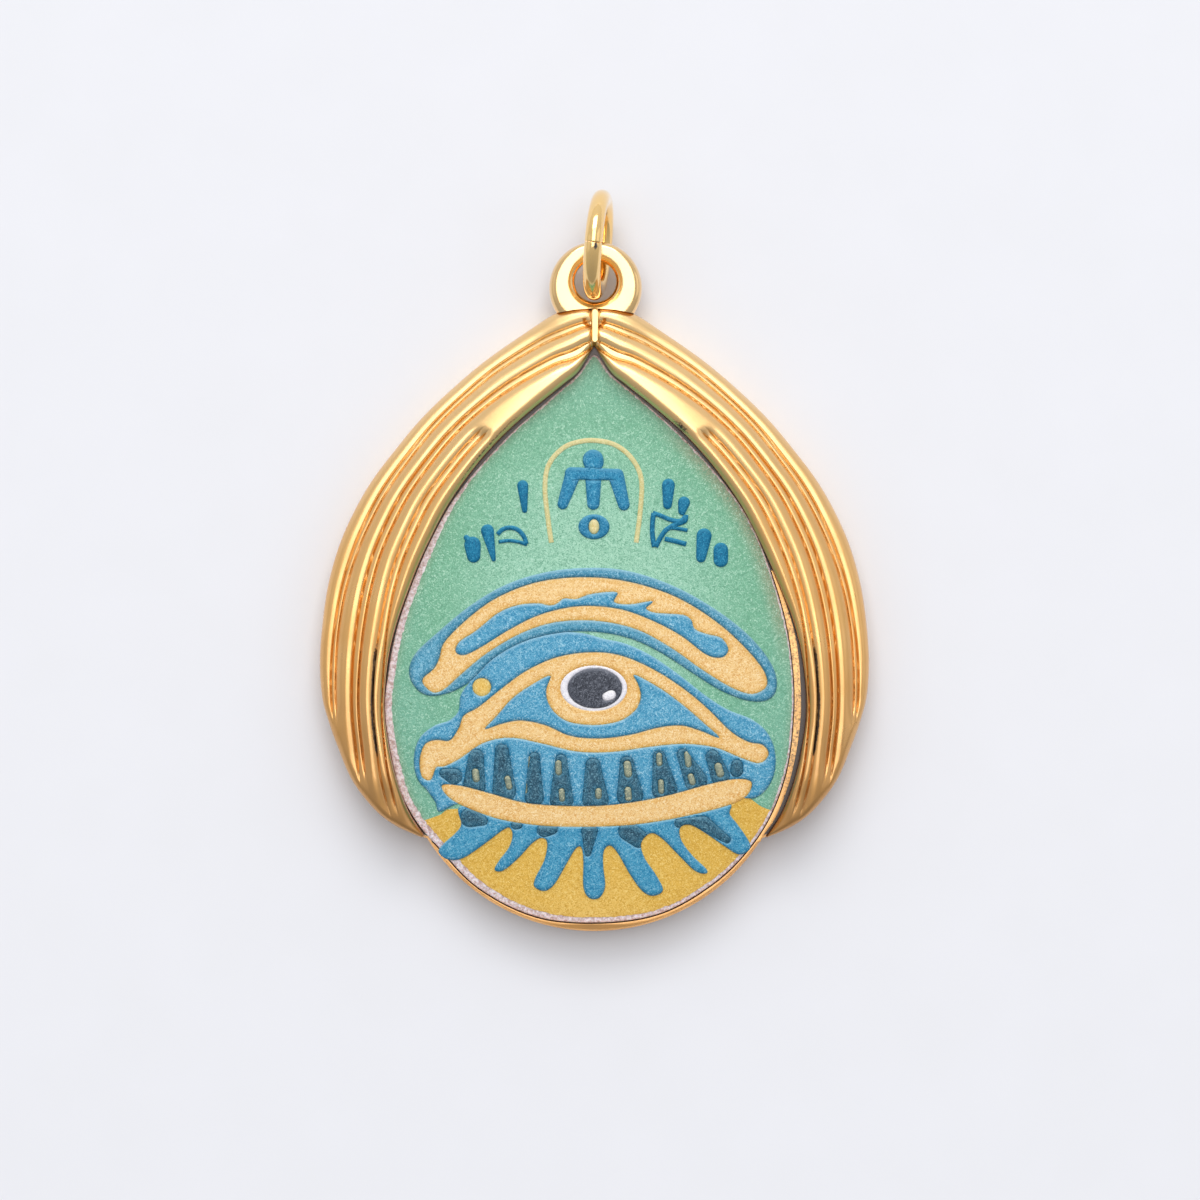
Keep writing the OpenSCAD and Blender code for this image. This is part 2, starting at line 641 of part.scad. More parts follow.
module lash_ink() {
    color(blue)
        blue_ink()
            difference() {
                polygon(loop_curve(lashes));
                polygon(loop_curve(lower_lid));
                roots_flat();
            }
}

module lash_root_ink() {
    color(navy)
        blue_ink()
            difference() {
                intersection() {
                    polygon(loop_curve(lashes));
                    roots_flat();
                }
                polygon(loop_curve(lower_lid));
            }
}

// Sprout under the arch: a bud, three hanging petals and a ringed eye
sprout_eye = [-0.02, 8.45];
petals = [[[-0.06, 11.46], [-0.04, 11.28], 0.44, 0.42], [[-0.85, 10.72], [-1.5, 9.5], 0.36, 0.2],
          [[-0.05, 10.45], [-0.06, 9.5], 0.36, 0.26], [[0.85, 10.72], [1.32, 9.5], 0.36, 0.24]];

module sprout_ink() {
    color(blue) {
        blue_ink()
            for (p = petals)
                polygon(drop(p[0], p[1], p[2], p[3]));
        blue_ink()
            difference() {
                polygon(oval(sprout_eye, 0.68, 0.54));
                polygon(oval(sprout_eye, 0.24, 0.34));
            }
    }
}

// Loose leaves on both sides of the arch: [upper end, lower end, upper radius, lower radius]
side_leaves = [[[-3.2, 10.36], [-3.12, 9.3], 0.23, 0.13], [[-5.45, 7.72], [-5.45, 7.15], 0.33, 0.3],
               [[-4.82, 8.35], [-4.5, 7.1], 0.22, 0.12], [[-3.4, 8.2], [-4.15, 8.28], 0.19, 0.12],
               [[-3.4, 7.75], [-4.2, 7.92], 0.18, 0.12], [[3.3, 10.35], [3.28, 9.5], 0.28, 0.22],
               [[3.97, 9.6], [3.88, 9.2], 0.25, 0.16], [[3.75, 8.85], [2.95, 8.4], 0.19, 0.13],
               [[4.0, 8.2], [2.95, 8.12], 0.18, 0.12], [[3.75, 7.6], [2.95, 7.84], 0.19, 0.13],
               [[5.0, 8.12], [4.84, 7.1], 0.3, 0.2], [[5.65, 7.46], [5.65, 6.95], 0.31, 0.33]];

module side_leaf_ink() {
    color(blue)
        blue_ink()
            for (f = side_leaves)
                polygon(drop(f[0], f[1], f[2], f[3]));
}

// ---- Jump ring ----

// Middle of the ring from the middle of the eye's upper bar, as the ring rests on the table
ring_centre = [0.17, bar_y + 0.25, ring_od / 2];

module jump_ring() {
    color(gold)
        translate(ring_centre)
            rotate([0, -ring_lean, -ring_yaw])
                difference() {
                    rotate([0, 90, 0])
                        rotate_extrude()
                            translate([(ring_od - wire_d) / 2, 0])
                                circle(wire_d / 2);
                    translate([-wire_d, -split_w / 2, ring_od / 2 - 2 * wire_d])
                        cube([2 * wire_d, split_w, 3 * wire_d]);
                }
}

back_plate();
bottom_rim();
left_drape();
right_drape();
apex_collar();
hanging_eye();
glue_bed();
stone();
green_field_ink();
gold_field_ink();
arch_ink();
brow_ink();
brow_band_ink();
brow_streak_ink();
lid_ink();
eye_line_ink();
eye_fill_ink();
corner_bead_ink();
sclera_ink();
pupil_ink();
glint_ink();
teeth_ink();
seed_ink();
lower_lid_ink();
lash_ink();
lash_root_ink();
sprout_ink();
side_leaf_ink();
jump_ring();
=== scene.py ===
"""Looks of a gold charm with a raised printed eye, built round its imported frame.

Outlines and sizes are in millimetres. A piece is modelled at one unit to the millimetre, and its
mesh is turned to metres when it is handed over to the frame.
"""

import logging
import math
import random
from collections.abc import Callable, Sequence
from dataclasses import dataclass, field
from enum import Enum
from typing import Any

import bpy
from mathutils import Matrix, Vector
from mathutils.geometry import delaunay_2d_cdt
from mathutils.kdtree import KDTree


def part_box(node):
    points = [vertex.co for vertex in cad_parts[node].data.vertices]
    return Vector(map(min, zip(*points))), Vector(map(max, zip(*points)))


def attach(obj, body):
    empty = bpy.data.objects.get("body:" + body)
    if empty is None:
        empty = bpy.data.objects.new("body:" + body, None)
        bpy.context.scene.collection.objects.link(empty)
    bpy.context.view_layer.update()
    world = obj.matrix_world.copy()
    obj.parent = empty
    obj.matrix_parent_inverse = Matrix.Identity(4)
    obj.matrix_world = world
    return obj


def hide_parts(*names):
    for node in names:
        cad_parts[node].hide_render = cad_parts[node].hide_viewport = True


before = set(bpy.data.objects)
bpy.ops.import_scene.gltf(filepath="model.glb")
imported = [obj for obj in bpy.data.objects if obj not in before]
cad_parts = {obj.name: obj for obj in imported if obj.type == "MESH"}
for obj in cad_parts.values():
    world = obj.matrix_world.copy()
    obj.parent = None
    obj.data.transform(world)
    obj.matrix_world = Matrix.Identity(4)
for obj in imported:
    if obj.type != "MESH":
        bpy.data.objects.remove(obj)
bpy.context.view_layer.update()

Point = tuple[float, float]
Loop = list[Point]
Piece = bpy.types.Object
Tree = bpy.types.NodeTree
Socket = bpy.types.NodeSocket
Shading = tuple[dict[str, float], dict[str, Socket]]

MM = 0.001
# Steps from each knot of an outline to the next
STEPS = 6
log = logging.getLogger("charm")


# ---- Curves ----


def blend4(a: float, b: float, c: float, d: float, t: float) -> float:
    """Returns the Catmull-Rom blend of four values, t of the way from b to c."""
    return 0.5 * (
        2 * b + (c - a) * t + (2 * a - 5 * b + 4 * c - d) * t * t + (3 * b - a - 3 * c + d) * t**3
    )


def curve_at(knots: Sequence[Sequence[float]], s: float, closed: bool = False) -> tuple[float, ...]:
    """Finds a place on the smooth curve through some knots.

    Args:
        knots: points, or rows of values, that the curve passes.
        s: the place, counted in knots.
        closed: whether the curve runs on from its last knot to its first.

    Returns:
        The point, or the row of values, at s.
    """
    i = math.floor(s)
    last = len(knots) - 1
    near = [i + k for k in (-1, 0, 1, 2)]
    picked = [knots[k % (last + 1)] if closed else knots[min(max(k, 0), last)] for k in near]
    return tuple(blend4(*values, s - i) for values in zip(*picked))


def loop_curve(knots: Loop, n: int = STEPS) -> Loop:
    """Returns a smooth closed loop through some knots, with n steps from each to the next."""
    return [curve_at(knots, i / n, True) for i in range(len(knots) * n)]


def open_curve(knots: Loop, n: int = STEPS) -> Loop:
    """Returns a smooth open curve through some knots, with n steps from each to the next."""
    return [curve_at(knots, i / n) for i in range((len(knots) - 1) * n + 1)]


def arc(centre: Point, radius: float, start: float, end: float, n: int) -> Loop:
    """Returns the n + 1 points of an arc between two angles in degrees."""
    angles = [math.radians(start + (end - start) * i / n) for i in range(n + 1)]
    return [(centre[0] + radius * math.cos(a), centre[1] + radius * math.sin(a)) for a in angles]


def oval(centre: Point, half_w: float, half_h: float, n: int = 48) -> Loop:
    """Returns an oval of n points round a centre."""
    return [(centre[0] + half_w * x, centre[1] + half_h * y) for x, y in arc((0, 0), 1, 0, 360, n)[:-1]]


def drop(a: Point, b: Point, ra: float, rb: float) -> Loop:
    """Returns the outline of a drop, round at both ends.

    Args:
        a: middle of its first end.
        b: middle of its other end.
        ra: radius at a.
        rb: radius at b.

    Returns:
        The outline, run anticlockwise.
    """
    way = Vector(b) - Vector(a)
    along = math.degrees(math.atan2(way.y, way.x))
    half = math.degrees(math.acos((ra - rb) / way.length))
    return arc(a, ra, along + half, along + 360 - half, 16) + arc(b, rb, along - half, along + half, 16)


def left_of(a: Point, b: Point) -> Vector:
    """Returns the unit vector to the left of the way from a to b."""
    way = (Vector(b) - Vector(a)).normalized()
    return Vector((-way.y, way.x))


def grown(loop: Loop, by: float | Sequence[float]) -> Loop:
    """Grows a clockwise loop.

    Args:
        loop: the outline.
        by: how far, the same all round or a distance for each point.

    Returns:
        The outline, that much further out, or further in where the distance is below zero.
    """
    n = len(loop)
    far = [by] * n if isinstance(by, float) else by
    return [tuple(Vector(loop[i]) + far[i] * left_of(loop[i - 1], loop[(i + 1) % n])) for i in range(n)]


def stroke(line: Loop, width: float) -> Loop:
    """Draws a stroke of even width along a line.

    Args:
        line: the points of its middle.
        width: its width.

    Returns:
        The stroke's outline, square at both ends.
    """
    last = len(line) - 1
    sides = [left_of(line[max(i - 1, 0)], line[min(i + 1, last)]) * width / 2 for i in range(last + 1)]
    left = [tuple(Vector(p) + side) for p, side in zip(line, sides)]
    right = [tuple(Vector(p) - side) for p, side in zip(line, sides)]
    return left + right[::-1]


def flip(loop: Loop) -> Loop:
    """Returns a line mirrored left to right and run the other way."""
    return [(-x, y) for x, y in reversed(loop)]


def anticlockwise(loop: Loop) -> Loop:
    """Returns a loop run anticlockwise, whichever way it ran."""
    turn = sum(a[0] * b[1] - b[0] * a[1] for a, b in zip(loop, [*loop[1:], loop[0]]))
    return loop if turn > 0 else loop[::-1]


def mix(a: float, b: float, t: float) -> float:
    """Returns the value t of the way from a to b."""
    return a * (1 - t) + b * t


def smooth(t: float) -> float:
    """Returns an easy step from 0 to 1 as t goes from 0 to 1."""
    c = min(max(t, 0.0), 1.0)
    return c * c * (3 - 2 * c)


def rolled(d: float, radius: float) -> float:
    """Returns how far a rolled edge has dropped at a distance d from it."""
    return 0.0 if d >= radius else radius - math.sqrt(radius**2 - (radius - max(d, 0.0)) ** 2)


# ---- Outlines, as in the frame's own design ----

DRAPE_OUTER: Loop = [(0, 18.3), (0.8, 18.28), (1.75, 18.05), (2.95, 17.3), (4.9, 15.95), (6.5, 14.6),
                     (7.85, 13.28), (9.0, 11.9), (10.05, 10.5), (10.85, 9.1), (11.5, 7.6),
                     (12.0, 5.8), (12.28, 3.8), (12.36, 2.2), (12.25, 0.8), (11.95, -0.3),
                     (11.55, -1.4), (10.9, -2.9), (9.9, -4.2), (8.95, -4.95), (7.75, -5.5)]
# The flutes run on past the drape's own edge towards its tip
FLUTE_OUTER: Loop = DRAPE_OUTER[:12] + [(12.3, 3.8), (12.42, 2.2), (12.46, 0.8), (12.4, -0.3), (12.3, -1.5),
                                        (12.1, -3.0), (11.8, -4.4), (11.5, -5.3), (11.2, -6.2)]
DRAPE_INNER: Loop = [(0, 16.6), (0.3, 16.25), (0.8, 15.5), (1.45, 14.95), (2.7, 13.95), (3.9, 12.9),
                     (5.0, 11.75), (5.95, 10.55), (6.75, 9.35), (7.4, 8.1), (8.0, 6.8), (8.5, 5.5),
                     (8.95, 4.2), (9.3, 2.8), (9.5, 1.2), (9.52, 0.0), (9.36, -1.2), (9.1, -2.5),
                     (8.72, -3.7), (8.3, -4.6), (7.72, -5.45)]
APEX: Loop = [(0, 18.28), (0.95, 18.2)]
# How many of the drape's outer knots the apex stands in for
APEX_KNOTS = 2
BOWL_CENTRE: Point = (0, -0.85)
BOWL_R = 8.9
BOWL_FROM = -32
STONE_EDGE: Loop = [(0, 16.2), (0.75, 15.3), (2.0, 14.25), (4.0, 12.45), (6.0, 10.2), (7.2, 8.25),
                    (8.05, 6.0), (8.62, 3.9), (8.9, 1.8), (8.92, 0.0), (8.68, -2.2), (8.0, -4.3),
                    (6.9, -6.05), (5.3, -7.6), (3.0, -8.9), (0.3, -9.33), (-2.6, -9.07),
                    (-5.2, -7.78), (-7.02, -5.93), (-8.12, -4.6), (-8.88, -2.9), (-9.4, 0.0),
                    (-9.25, 1.9), (-8.86, 3.9), (-8.15, 6.0), (-7.15, 8.25), (-5.95, 10.2),
                    (-3.95, 12.45), (-2.0, 14.2), (-0.75, 15.3)]
WELL_GAP = 0.05
RIM_ARM: Loop = [(7.45, -5.7), (7.65, -5.32), (8.05, -4.75), (8.4, -4.0), (8.76, -3.0), (9.0, -2.0),
                 (9.17, -1.0), (9.28, 0.2), (9.25, 1.6), (9.15, 2.8), (8.95, 3.9), (8.5, 5.3),
                 (8.0, 6.5)]
ARM_FILL: Loop = [(6.0, 6.5), (5.0, -5.7)]
RIM_SPAN: Loop = [(-7.6, -5.6), (7.6, -5.6), (9.5, -12), (-9.5, -12)]

FIELD_LINE: Loop = [(-10, -4.9), (-8.2, -4.85), (-7.0, -4.5), (-6.2, -4.2), (-3, -4.6), (0, -4.75),
                    (4, -4.35), (6.3, -3.75), (6.9, -3.7), (7.5, -4.1), (8.2, -4.3), (10, -4.4)]
FIELD_FOOT: Loop = [(10, -12), (-10, -12)]
ARCH_LINE: Loop = [(-1.93, 7.75), (-2.08, 8.8), (-2.22, 10.2), (-2.05, 11.25), (-1.4, 12.0),
                   (-0.6, 12.3), (0.2, 12.32), (1.0, 12.1), (1.7, 11.5), (2.1, 10.6), (2.06, 9.2),
                   (1.87, 7.75)]
BROW_OUTER: Loop = [(-8.0, 1.2), (-8.32, 1.9), (-8.05, 2.75), (-7.0, 3.75), (-5.6, 4.9), (-4.0, 5.85),
                    (-2.2, 6.42), (-0.3, 6.62), (1.4, 6.5), (3.2, 5.95), (4.8, 5.15), (6.4, 4.05),
                    (7.5, 2.95), (8.1, 1.95), (8.15, 1.1), (7.7, 0.66), (6.8, 0.68), (5.6, 1.15),
                    (4.4, 1.9), (3.0, 2.8), (1.6, 3.45), (0, 3.75), (-1.6, 3.7), (-3.2, 3.3),
                    (-4.6, 2.5), (-5.6, 1.5), (-6.5, 1.02), (-7.4, 0.88)]
BROW_CREAM: Loop = [(-7.6, 1.3), (-7.7, 1.65), (-7.2, 2.1), (-6.95, 2.6), (-6.75, 3.25), (-5.9, 4.15),
                    (-4.6, 5.15), (-3.0, 5.86), (-1.3, 6.17), (0.6, 6.15), (2.4, 5.78), (4.0, 5.15),
                    (5.6, 4.1), (6.8, 3.0), (7.6, 2.0), (7.72, 1.3), (7.1, 0.96), (6.2, 1.22),
                    (4.9, 2.0), (3.4, 3.05), (1.9, 3.85), (0.2, 4.23), (-1.6, 4.2), (-3.2, 3.72),
                    (-4.8, 2.8), (-6.0, 1.82), (-6.7, 1.2), (-7.2, 1.02)]
BROW_STREAK: Loop = [(-6.22, 2.85), (-6.05, 3.3), (-5.3, 3.8), (-4.3, 4.6), (-3.4, 4.95),
                     (-2.5, 5.02), (-2.05, 4.93), (-1.7, 5.0), (-1.35, 5.24), (-0.8, 5.22),
                     (-0.1, 5.45), (1.0, 5.52), (0.88, 5.08), (1.6, 4.98), (2.6, 5.12), (2.32, 4.8),
                     (2.75, 4.6), (3.9, 4.52), (4.32, 4.3), (4.5, 3.88), (5.0, 3.66), (5.7, 3.46),
                     (6.0, 2.95), (5.7, 2.6), (5.0, 2.74), (4.0, 3.5), (2.9, 4.12), (1.5, 4.68),
                     (0.2, 4.9), (-1.1, 4.86), (-2.5, 4.5), (-3.8, 3.86), (-5.0, 3.12), (-5.8, 2.72)]
EYE_LINE: Loop = [(-6.1, -0.6), (-5.85, 0.0), (-5.2, 0.38), (-4.2, 1.18), (-3.1, 1.98), (-1.8, 2.58),
                  (-0.4, 2.83), (1.0, 2.74), (2.4, 2.2), (3.8, 1.35), (5.0, 0.38), (6.1, -0.7),
                  (6.9, -1.18), (7.55, -1.32), (7.82, -1.75), (7.4, -2.15), (6.5, -1.88),
                  (5.4, -1.44), (4.0, -1.28), (2.4, -1.42), (0.8, -1.64), (-0.8, -1.62),
                  (-2.4, -1.25), (-3.8, -1.0), (-5.0, -1.25), (-6.0, -1.92), (-6.7, -2.28),
                  (-7.1, -2.35), (-7.35, -2.9), (-7.75, -2.75), (-7.85, -2.0), (-7.6, -1.3),
                  (-7.1, -1.1), (-6.5, -1.12)]
EYE_FILL: Loop = [(-4.9, -0.6), (-4.4, -0.05), (-3.7, 0.74), (-2.9, 1.32), (-2.0, 1.78),
                  (-2.15, 1.2), (-2.1, 0.65), (-1.75, 0.1), (-1.1, -0.3), (0, -0.43), (1.1, -0.26),
                  (1.8, 0.2), (2.08, 0.8), (1.98, 1.35), (1.8, 1.82), (2.9, 1.24), (3.9, 0.52),
                  (4.8, -0.25), (5.6, -1.0), (4.7, -0.66), (3.9, -0.45), (2.9, -0.53), (1.6, -0.86),
                  (0.2, -1.03), (-1.1, -0.9), (-2.2, -0.43), (-3.3, -0.22), (-4.2, -0.38)]
LOWER_LID: Loop = [(-6.85, -3.15), (-6.0, -3.16), (-4.6, -3.52), (-3.2, -3.9), (-1.6, -4.05),
                   (0.2, -4.05), (1.8, -3.88), (3.4, -3.56), (5.0, -3.12), (6.2, -2.87),
                   (6.95, -2.92), (7.05, -3.25), (6.72, -3.72), (5.9, -4.08), (4.6, -4.42),
                   (3.0, -4.74), (1.3, -4.95), (-0.6, -5.0), (-2.4, -4.95), (-4.2, -4.68),
                   (-5.6, -4.2), (-6.5, -3.72)]
LID: Loop = [(-6.1, -3.95), (-6.95, -4.33), (-7.15, -3.9), (-7.5, -3.4), (-7.9, -2.95),
             (-8.1, -2.3), (-8.05, -1.5), (-7.75, -0.9), (-7.15, -0.45), (-6.5, -0.22), (-6.1, 0.2),
             (-6.0, 0.9), (-5.6, 1.5), (-5.0, 2.3), (-3.6, 3.4), (-2.0, 3.72), (-0.6, 3.7),
             (0.4, 3.44), (1.4, 3.22), (2.6, 2.65), (3.8, 1.82), (5.0, 0.88), (6.0, 0.25),
             (7.0, -0.15), (7.7, -0.7), (8.08, -1.5), (8.12, -2.4), (7.85, -3.15), (7.35, -3.65),
             (6.8, -3.72), (5.6, -3.5), (3.0, -4.2), (0, -4.5), (-3.0, -4.35), (-5.0, -3.85)]
LASHES: Loop = [(-5.9, -4.05), (-5.98, -4.9), (-6.25, -5.3), (-6.8, -5.8), (-7.0, -6.15),
                (-6.6, -6.48), (-5.9, -6.42), (-4.9, -5.75), (-4.15, -5.18), (-3.8, -5.05),
                (-3.68, -5.4), (-3.85, -5.95), (-4.3, -6.55), (-4.48, -6.95), (-4.1, -6.98),
                (-3.4, -6.4), (-2.8, -5.75), (-2.35, -5.5), (-2.12, -5.75), (-2.25, -6.5),
                (-2.65, -7.3), (-2.7, -7.7), (-2.25, -7.9), (-1.8, -7.6), (-1.3, -6.75),
                (-0.85, -6.0), (-0.58, -5.95), (-0.5, -6.6), (-0.5, -7.7), (-0.25, -8.2),
                (0.2, -8.22), (0.48, -7.7), (0.4, -6.8), (0.42, -6.1), (0.7, -5.85), (1.05, -6.2),
                (1.6, -7.15), (2.15, -7.9), (2.65, -8.12), (3.08, -7.85), (2.75, -7.15),
                (2.25, -6.4), (2.1, -5.75), (2.5, -5.3), (3.0, -5.5), (3.8, -6.3), (4.5, -6.98),
                (5.0, -7.12), (5.02, -6.9), (4.4, -6.3), (3.9, -5.6), (3.85, -5.05), (4.3, -4.92),
                (5.0, -5.3), (5.8, -5.85), (6.45, -6.25), (6.9, -6.1), (6.98, -5.75), (6.5, -5.0),
                (6.08, -4.45), (5.9, -3.95), (3.0, -4.4), (0, -4.7), (-3, -4.6)]

# Drops, as [one end, other end, radius at the first, radius at the other]
Drop = tuple[Point, Point, float, float]
TEETH: list[Drop] = [
    ((-6.75, -2.6), (-6.3, -2.75), 0.2, 0.36), ((-5.3, -1.86), (-5.4, -3.2), 0.33, 0.5),
    ((-4.15, -1.6), (-4.05, -3.4), 0.3, 0.52), ((-2.7, -1.9), (-2.7, -3.7), 0.24, 0.42),
    ((-1.5, -2.0), (-1.47, -3.8), 0.25, 0.52), ((-0.07, -2.25), (0.05, -3.8), 0.32, 0.58),
    ((1.45, -2.15), (1.6, -3.6), 0.3, 0.58), ((2.9, -1.86), (3.15, -3.35), 0.27, 0.56),
    ((3.95, -1.76), (4.55, -2.95), 0.25, 0.5), ((5.3, -1.86), (5.65, -2.75), 0.3, 0.42),
    ((6.4, -2.25), (6.38, -2.5), 0.25, 0.28),
]
SEEDS: list[Drop] = [
    ((-5.34, -2.55), (-5.3, -2.85), 0.16, 0.16), ((-3.9, -2.85), (-3.82, -3.2), 0.14, 0.14),
    ((-3.02, -1.9), (-3.06, -2.25), 0.13, 0.13), ((-3.12, -3.15), (-3.12, -3.4), 0.11, 0.11),
    ((-1.62, -2.15), (-1.6, -2.55), 0.14, 0.14), ((-1.47, -3.4), (-1.45, -3.75), 0.13, 0.13),
    ((0.18, -3.4), (0.18, -3.62), 0.14, 0.14), ((1.47, -2.2), (1.52, -2.62), 0.17, 0.17),
    ((1.5, -3.35), (1.53, -3.7), 0.15, 0.15), ((2.9, -1.8), (2.92, -2.15), 0.13, 0.13),
    ((2.98, -3.0), (3.0, -3.4), 0.13, 0.13), ((4.16, -1.75), (4.22, -2.2), 0.14, 0.14),
    ((4.32, -2.75), (4.4, -3.0), 0.14, 0.14), ((5.55, -2.3), (5.65, -2.62), 0.17, 0.17),
]
LASH_ROOTS: list[Drop] = [
    ((-5.6, -4.6), (-5.0, -4.75), 0.42, 0.2), ((-3.55, -4.95), (-3.4, -4.95), 0.18, 0.15),
    ((-2.25, -5.15), (-1.9, -5.1), 0.32, 0.25), ((-0.22, -5.2), (-0.3, -6.2), 0.36, 0.14),
    ((1.5, -5.2), (2.0, -5.55), 0.42, 0.4), ((3.8, -4.85), (4.9, -4.85), 0.2, 0.32),
]
OUTER_ROOT: Drop = ((5.1, -5.0), (5.95, -5.6), 0.3, 0.16)
PETALS: list[Drop] = [
    ((-0.06, 11.46), (-0.04, 11.38), 0.47, 0.46), ((-0.98, 10.76), (-1.42, 9.48), 0.35, 0.24),
    ((-0.05, 10.6), (-0.05, 9.5), 0.36, 0.28), ((0.98, 10.72), (1.32, 9.45), 0.35, 0.26),
    ((-1.05, 10.86), (1.05, 10.8), 0.28, 0.26),
]
SIDE_LEAVES: list[Drop] = [
    ((-3.22, 10.3), (-3.13, 9.2), 0.25, 0.12), ((-5.47, 7.65), (-5.42, 7.15), 0.37, 0.3),
    ((-5.75, 7.98), (-5.5, 7.7), 0.12, 0.2), ((-4.8, 8.28), (-4.52, 7.0), 0.29, 0.1),
    ((3.32, 10.33), (3.28, 9.45), 0.29, 0.2), ((4.02, 9.55), (3.93, 9.15), 0.27, 0.17),
    ((4.92, 8.05), (4.78, 7.08), 0.34, 0.22), ((5.67, 7.42), (5.67, 6.98), 0.33, 0.33),
]
SIDE_STROKES: list[tuple[float, Loop]] = [
    (0.2, [(-4.35, 8.12), (-4.1, 8.35), (-3.75, 8.42), (-3.4, 8.3), (-3.15, 8.0), (-3.05, 7.68)]),
    (0.16, [(-3.02, 7.66), (-3.4, 7.78), (-3.85, 7.84), (-4.3, 7.78)]),
    (0.22, [(2.66, 9.08), (2.6, 8.6), (2.6, 8.1), (2.68, 7.55)]),
    (0.2, [(2.62, 9.08), (3.0, 8.95), (3.4, 8.78), (3.85, 8.72), (4.1, 8.95)]),
    (0.22, [(4.1, 9.0), (4.05, 8.72), (3.6, 8.55), (3.2, 8.3), (2.95, 7.95), (2.75, 7.55)]),
    (0.17, [(3.4, 8.42), (3.75, 8.38), (4.18, 8.3)]),
    (0.22, [(3.15, 7.92), (3.6, 7.82), (4.12, 7.68)]),
]
SPROUT_EYE: Point = (-0.02, 8.46)


def drops(rows: list[Drop]) -> list[Loop]:
    """Returns the outline of each drop in a list."""
    return [drop(*row) for row in rows]


# ---- Choices ----


class Body(Enum):
    """The bodies that pieces ride on."""

    PENDANT = "pendant"
    RING = "ring"


class Side(Enum):
    """The two sides of the charm, as it is seen from the front."""

    LEFT = -1
    RIGHT = 1


class Carve(Enum):
    """What a tool does to a piece."""

    CUT = "DIFFERENCE"
    KEEP = "INTERSECT"
    ADD = "UNION"


# ---- Modelling ----


def solo(piece: Piece) -> None:
    """Makes one object the only one selected, and the active one."""
    bpy.ops.object.select_all(action="DESELECT")
    piece.select_set(True)
    bpy.context.view_layer.objects.active = piece


def select_faces(piece: Piece, wanted: Callable[[Vector, Vector], bool]) -> None:
    """Selects faces in edit mode by their middle and normal, and leaves edit mode on.

    Args:
        piece: the object, active and in edit mode.
        wanted: says whether a face with this middle and normal is selected.
    """
    bpy.ops.mesh.select_mode(type="FACE")
    bpy.ops.mesh.select_all(action="DESELECT")
    bpy.ops.object.mode_set(mode="OBJECT")
    for face in piece.data.polygons:
        face.select = wanted(face.center, face.normal)
    bpy.ops.object.mode_set(mode="EDIT")


def block(name: str, loops: Sequence[Loop], low: float, high: float) -> Piece:
    """Makes a straight-sided block from flat outlines that don't overlap.

    Args:
        name: the object's name.
        loops: its outlines; one inside another is a hole.
        low: height of its foot.
        high: height of its top.

    Returns:
        The mesh object.
    """
    curve = bpy.data.curves.new(name, "CURVE")
    curve.dimensions = "2D"
    curve.fill_mode = "BOTH"
    for loop in loops:
        spline = curve.splines.new("POLY")
        spline.points.add(len(loop) - 1)
        for knot, (x, y) in zip(spline.points, loop):
            knot.co = (x, y, 0, 1)
        spline.use_cyclic_u = True
    piece = bpy.data.objects.new(name, curve)
    bpy.context.scene.collection.objects.link(piece)
    solo(piece)
    bpy.ops.object.convert(target="MESH")
    piece = bpy.context.object
    bpy.ops.object.mode_set(mode="EDIT")
    bpy.ops.mesh.select_all(action="SELECT")
    bpy.ops.mesh.remove_doubles(threshold=0.0005)
    bpy.ops.mesh.extrude_region_move(TRANSFORM_OT_translate={"value": (0, 0, high - low)})
    bpy.ops.mesh.select_all(action="SELECT")
    bpy.ops.transform.translate(value=(0, 0, low))
    bpy.ops.mesh.normals_make_consistent(inside=False)
    bpy.ops.object.mode_set(mode="OBJECT")
    return piece


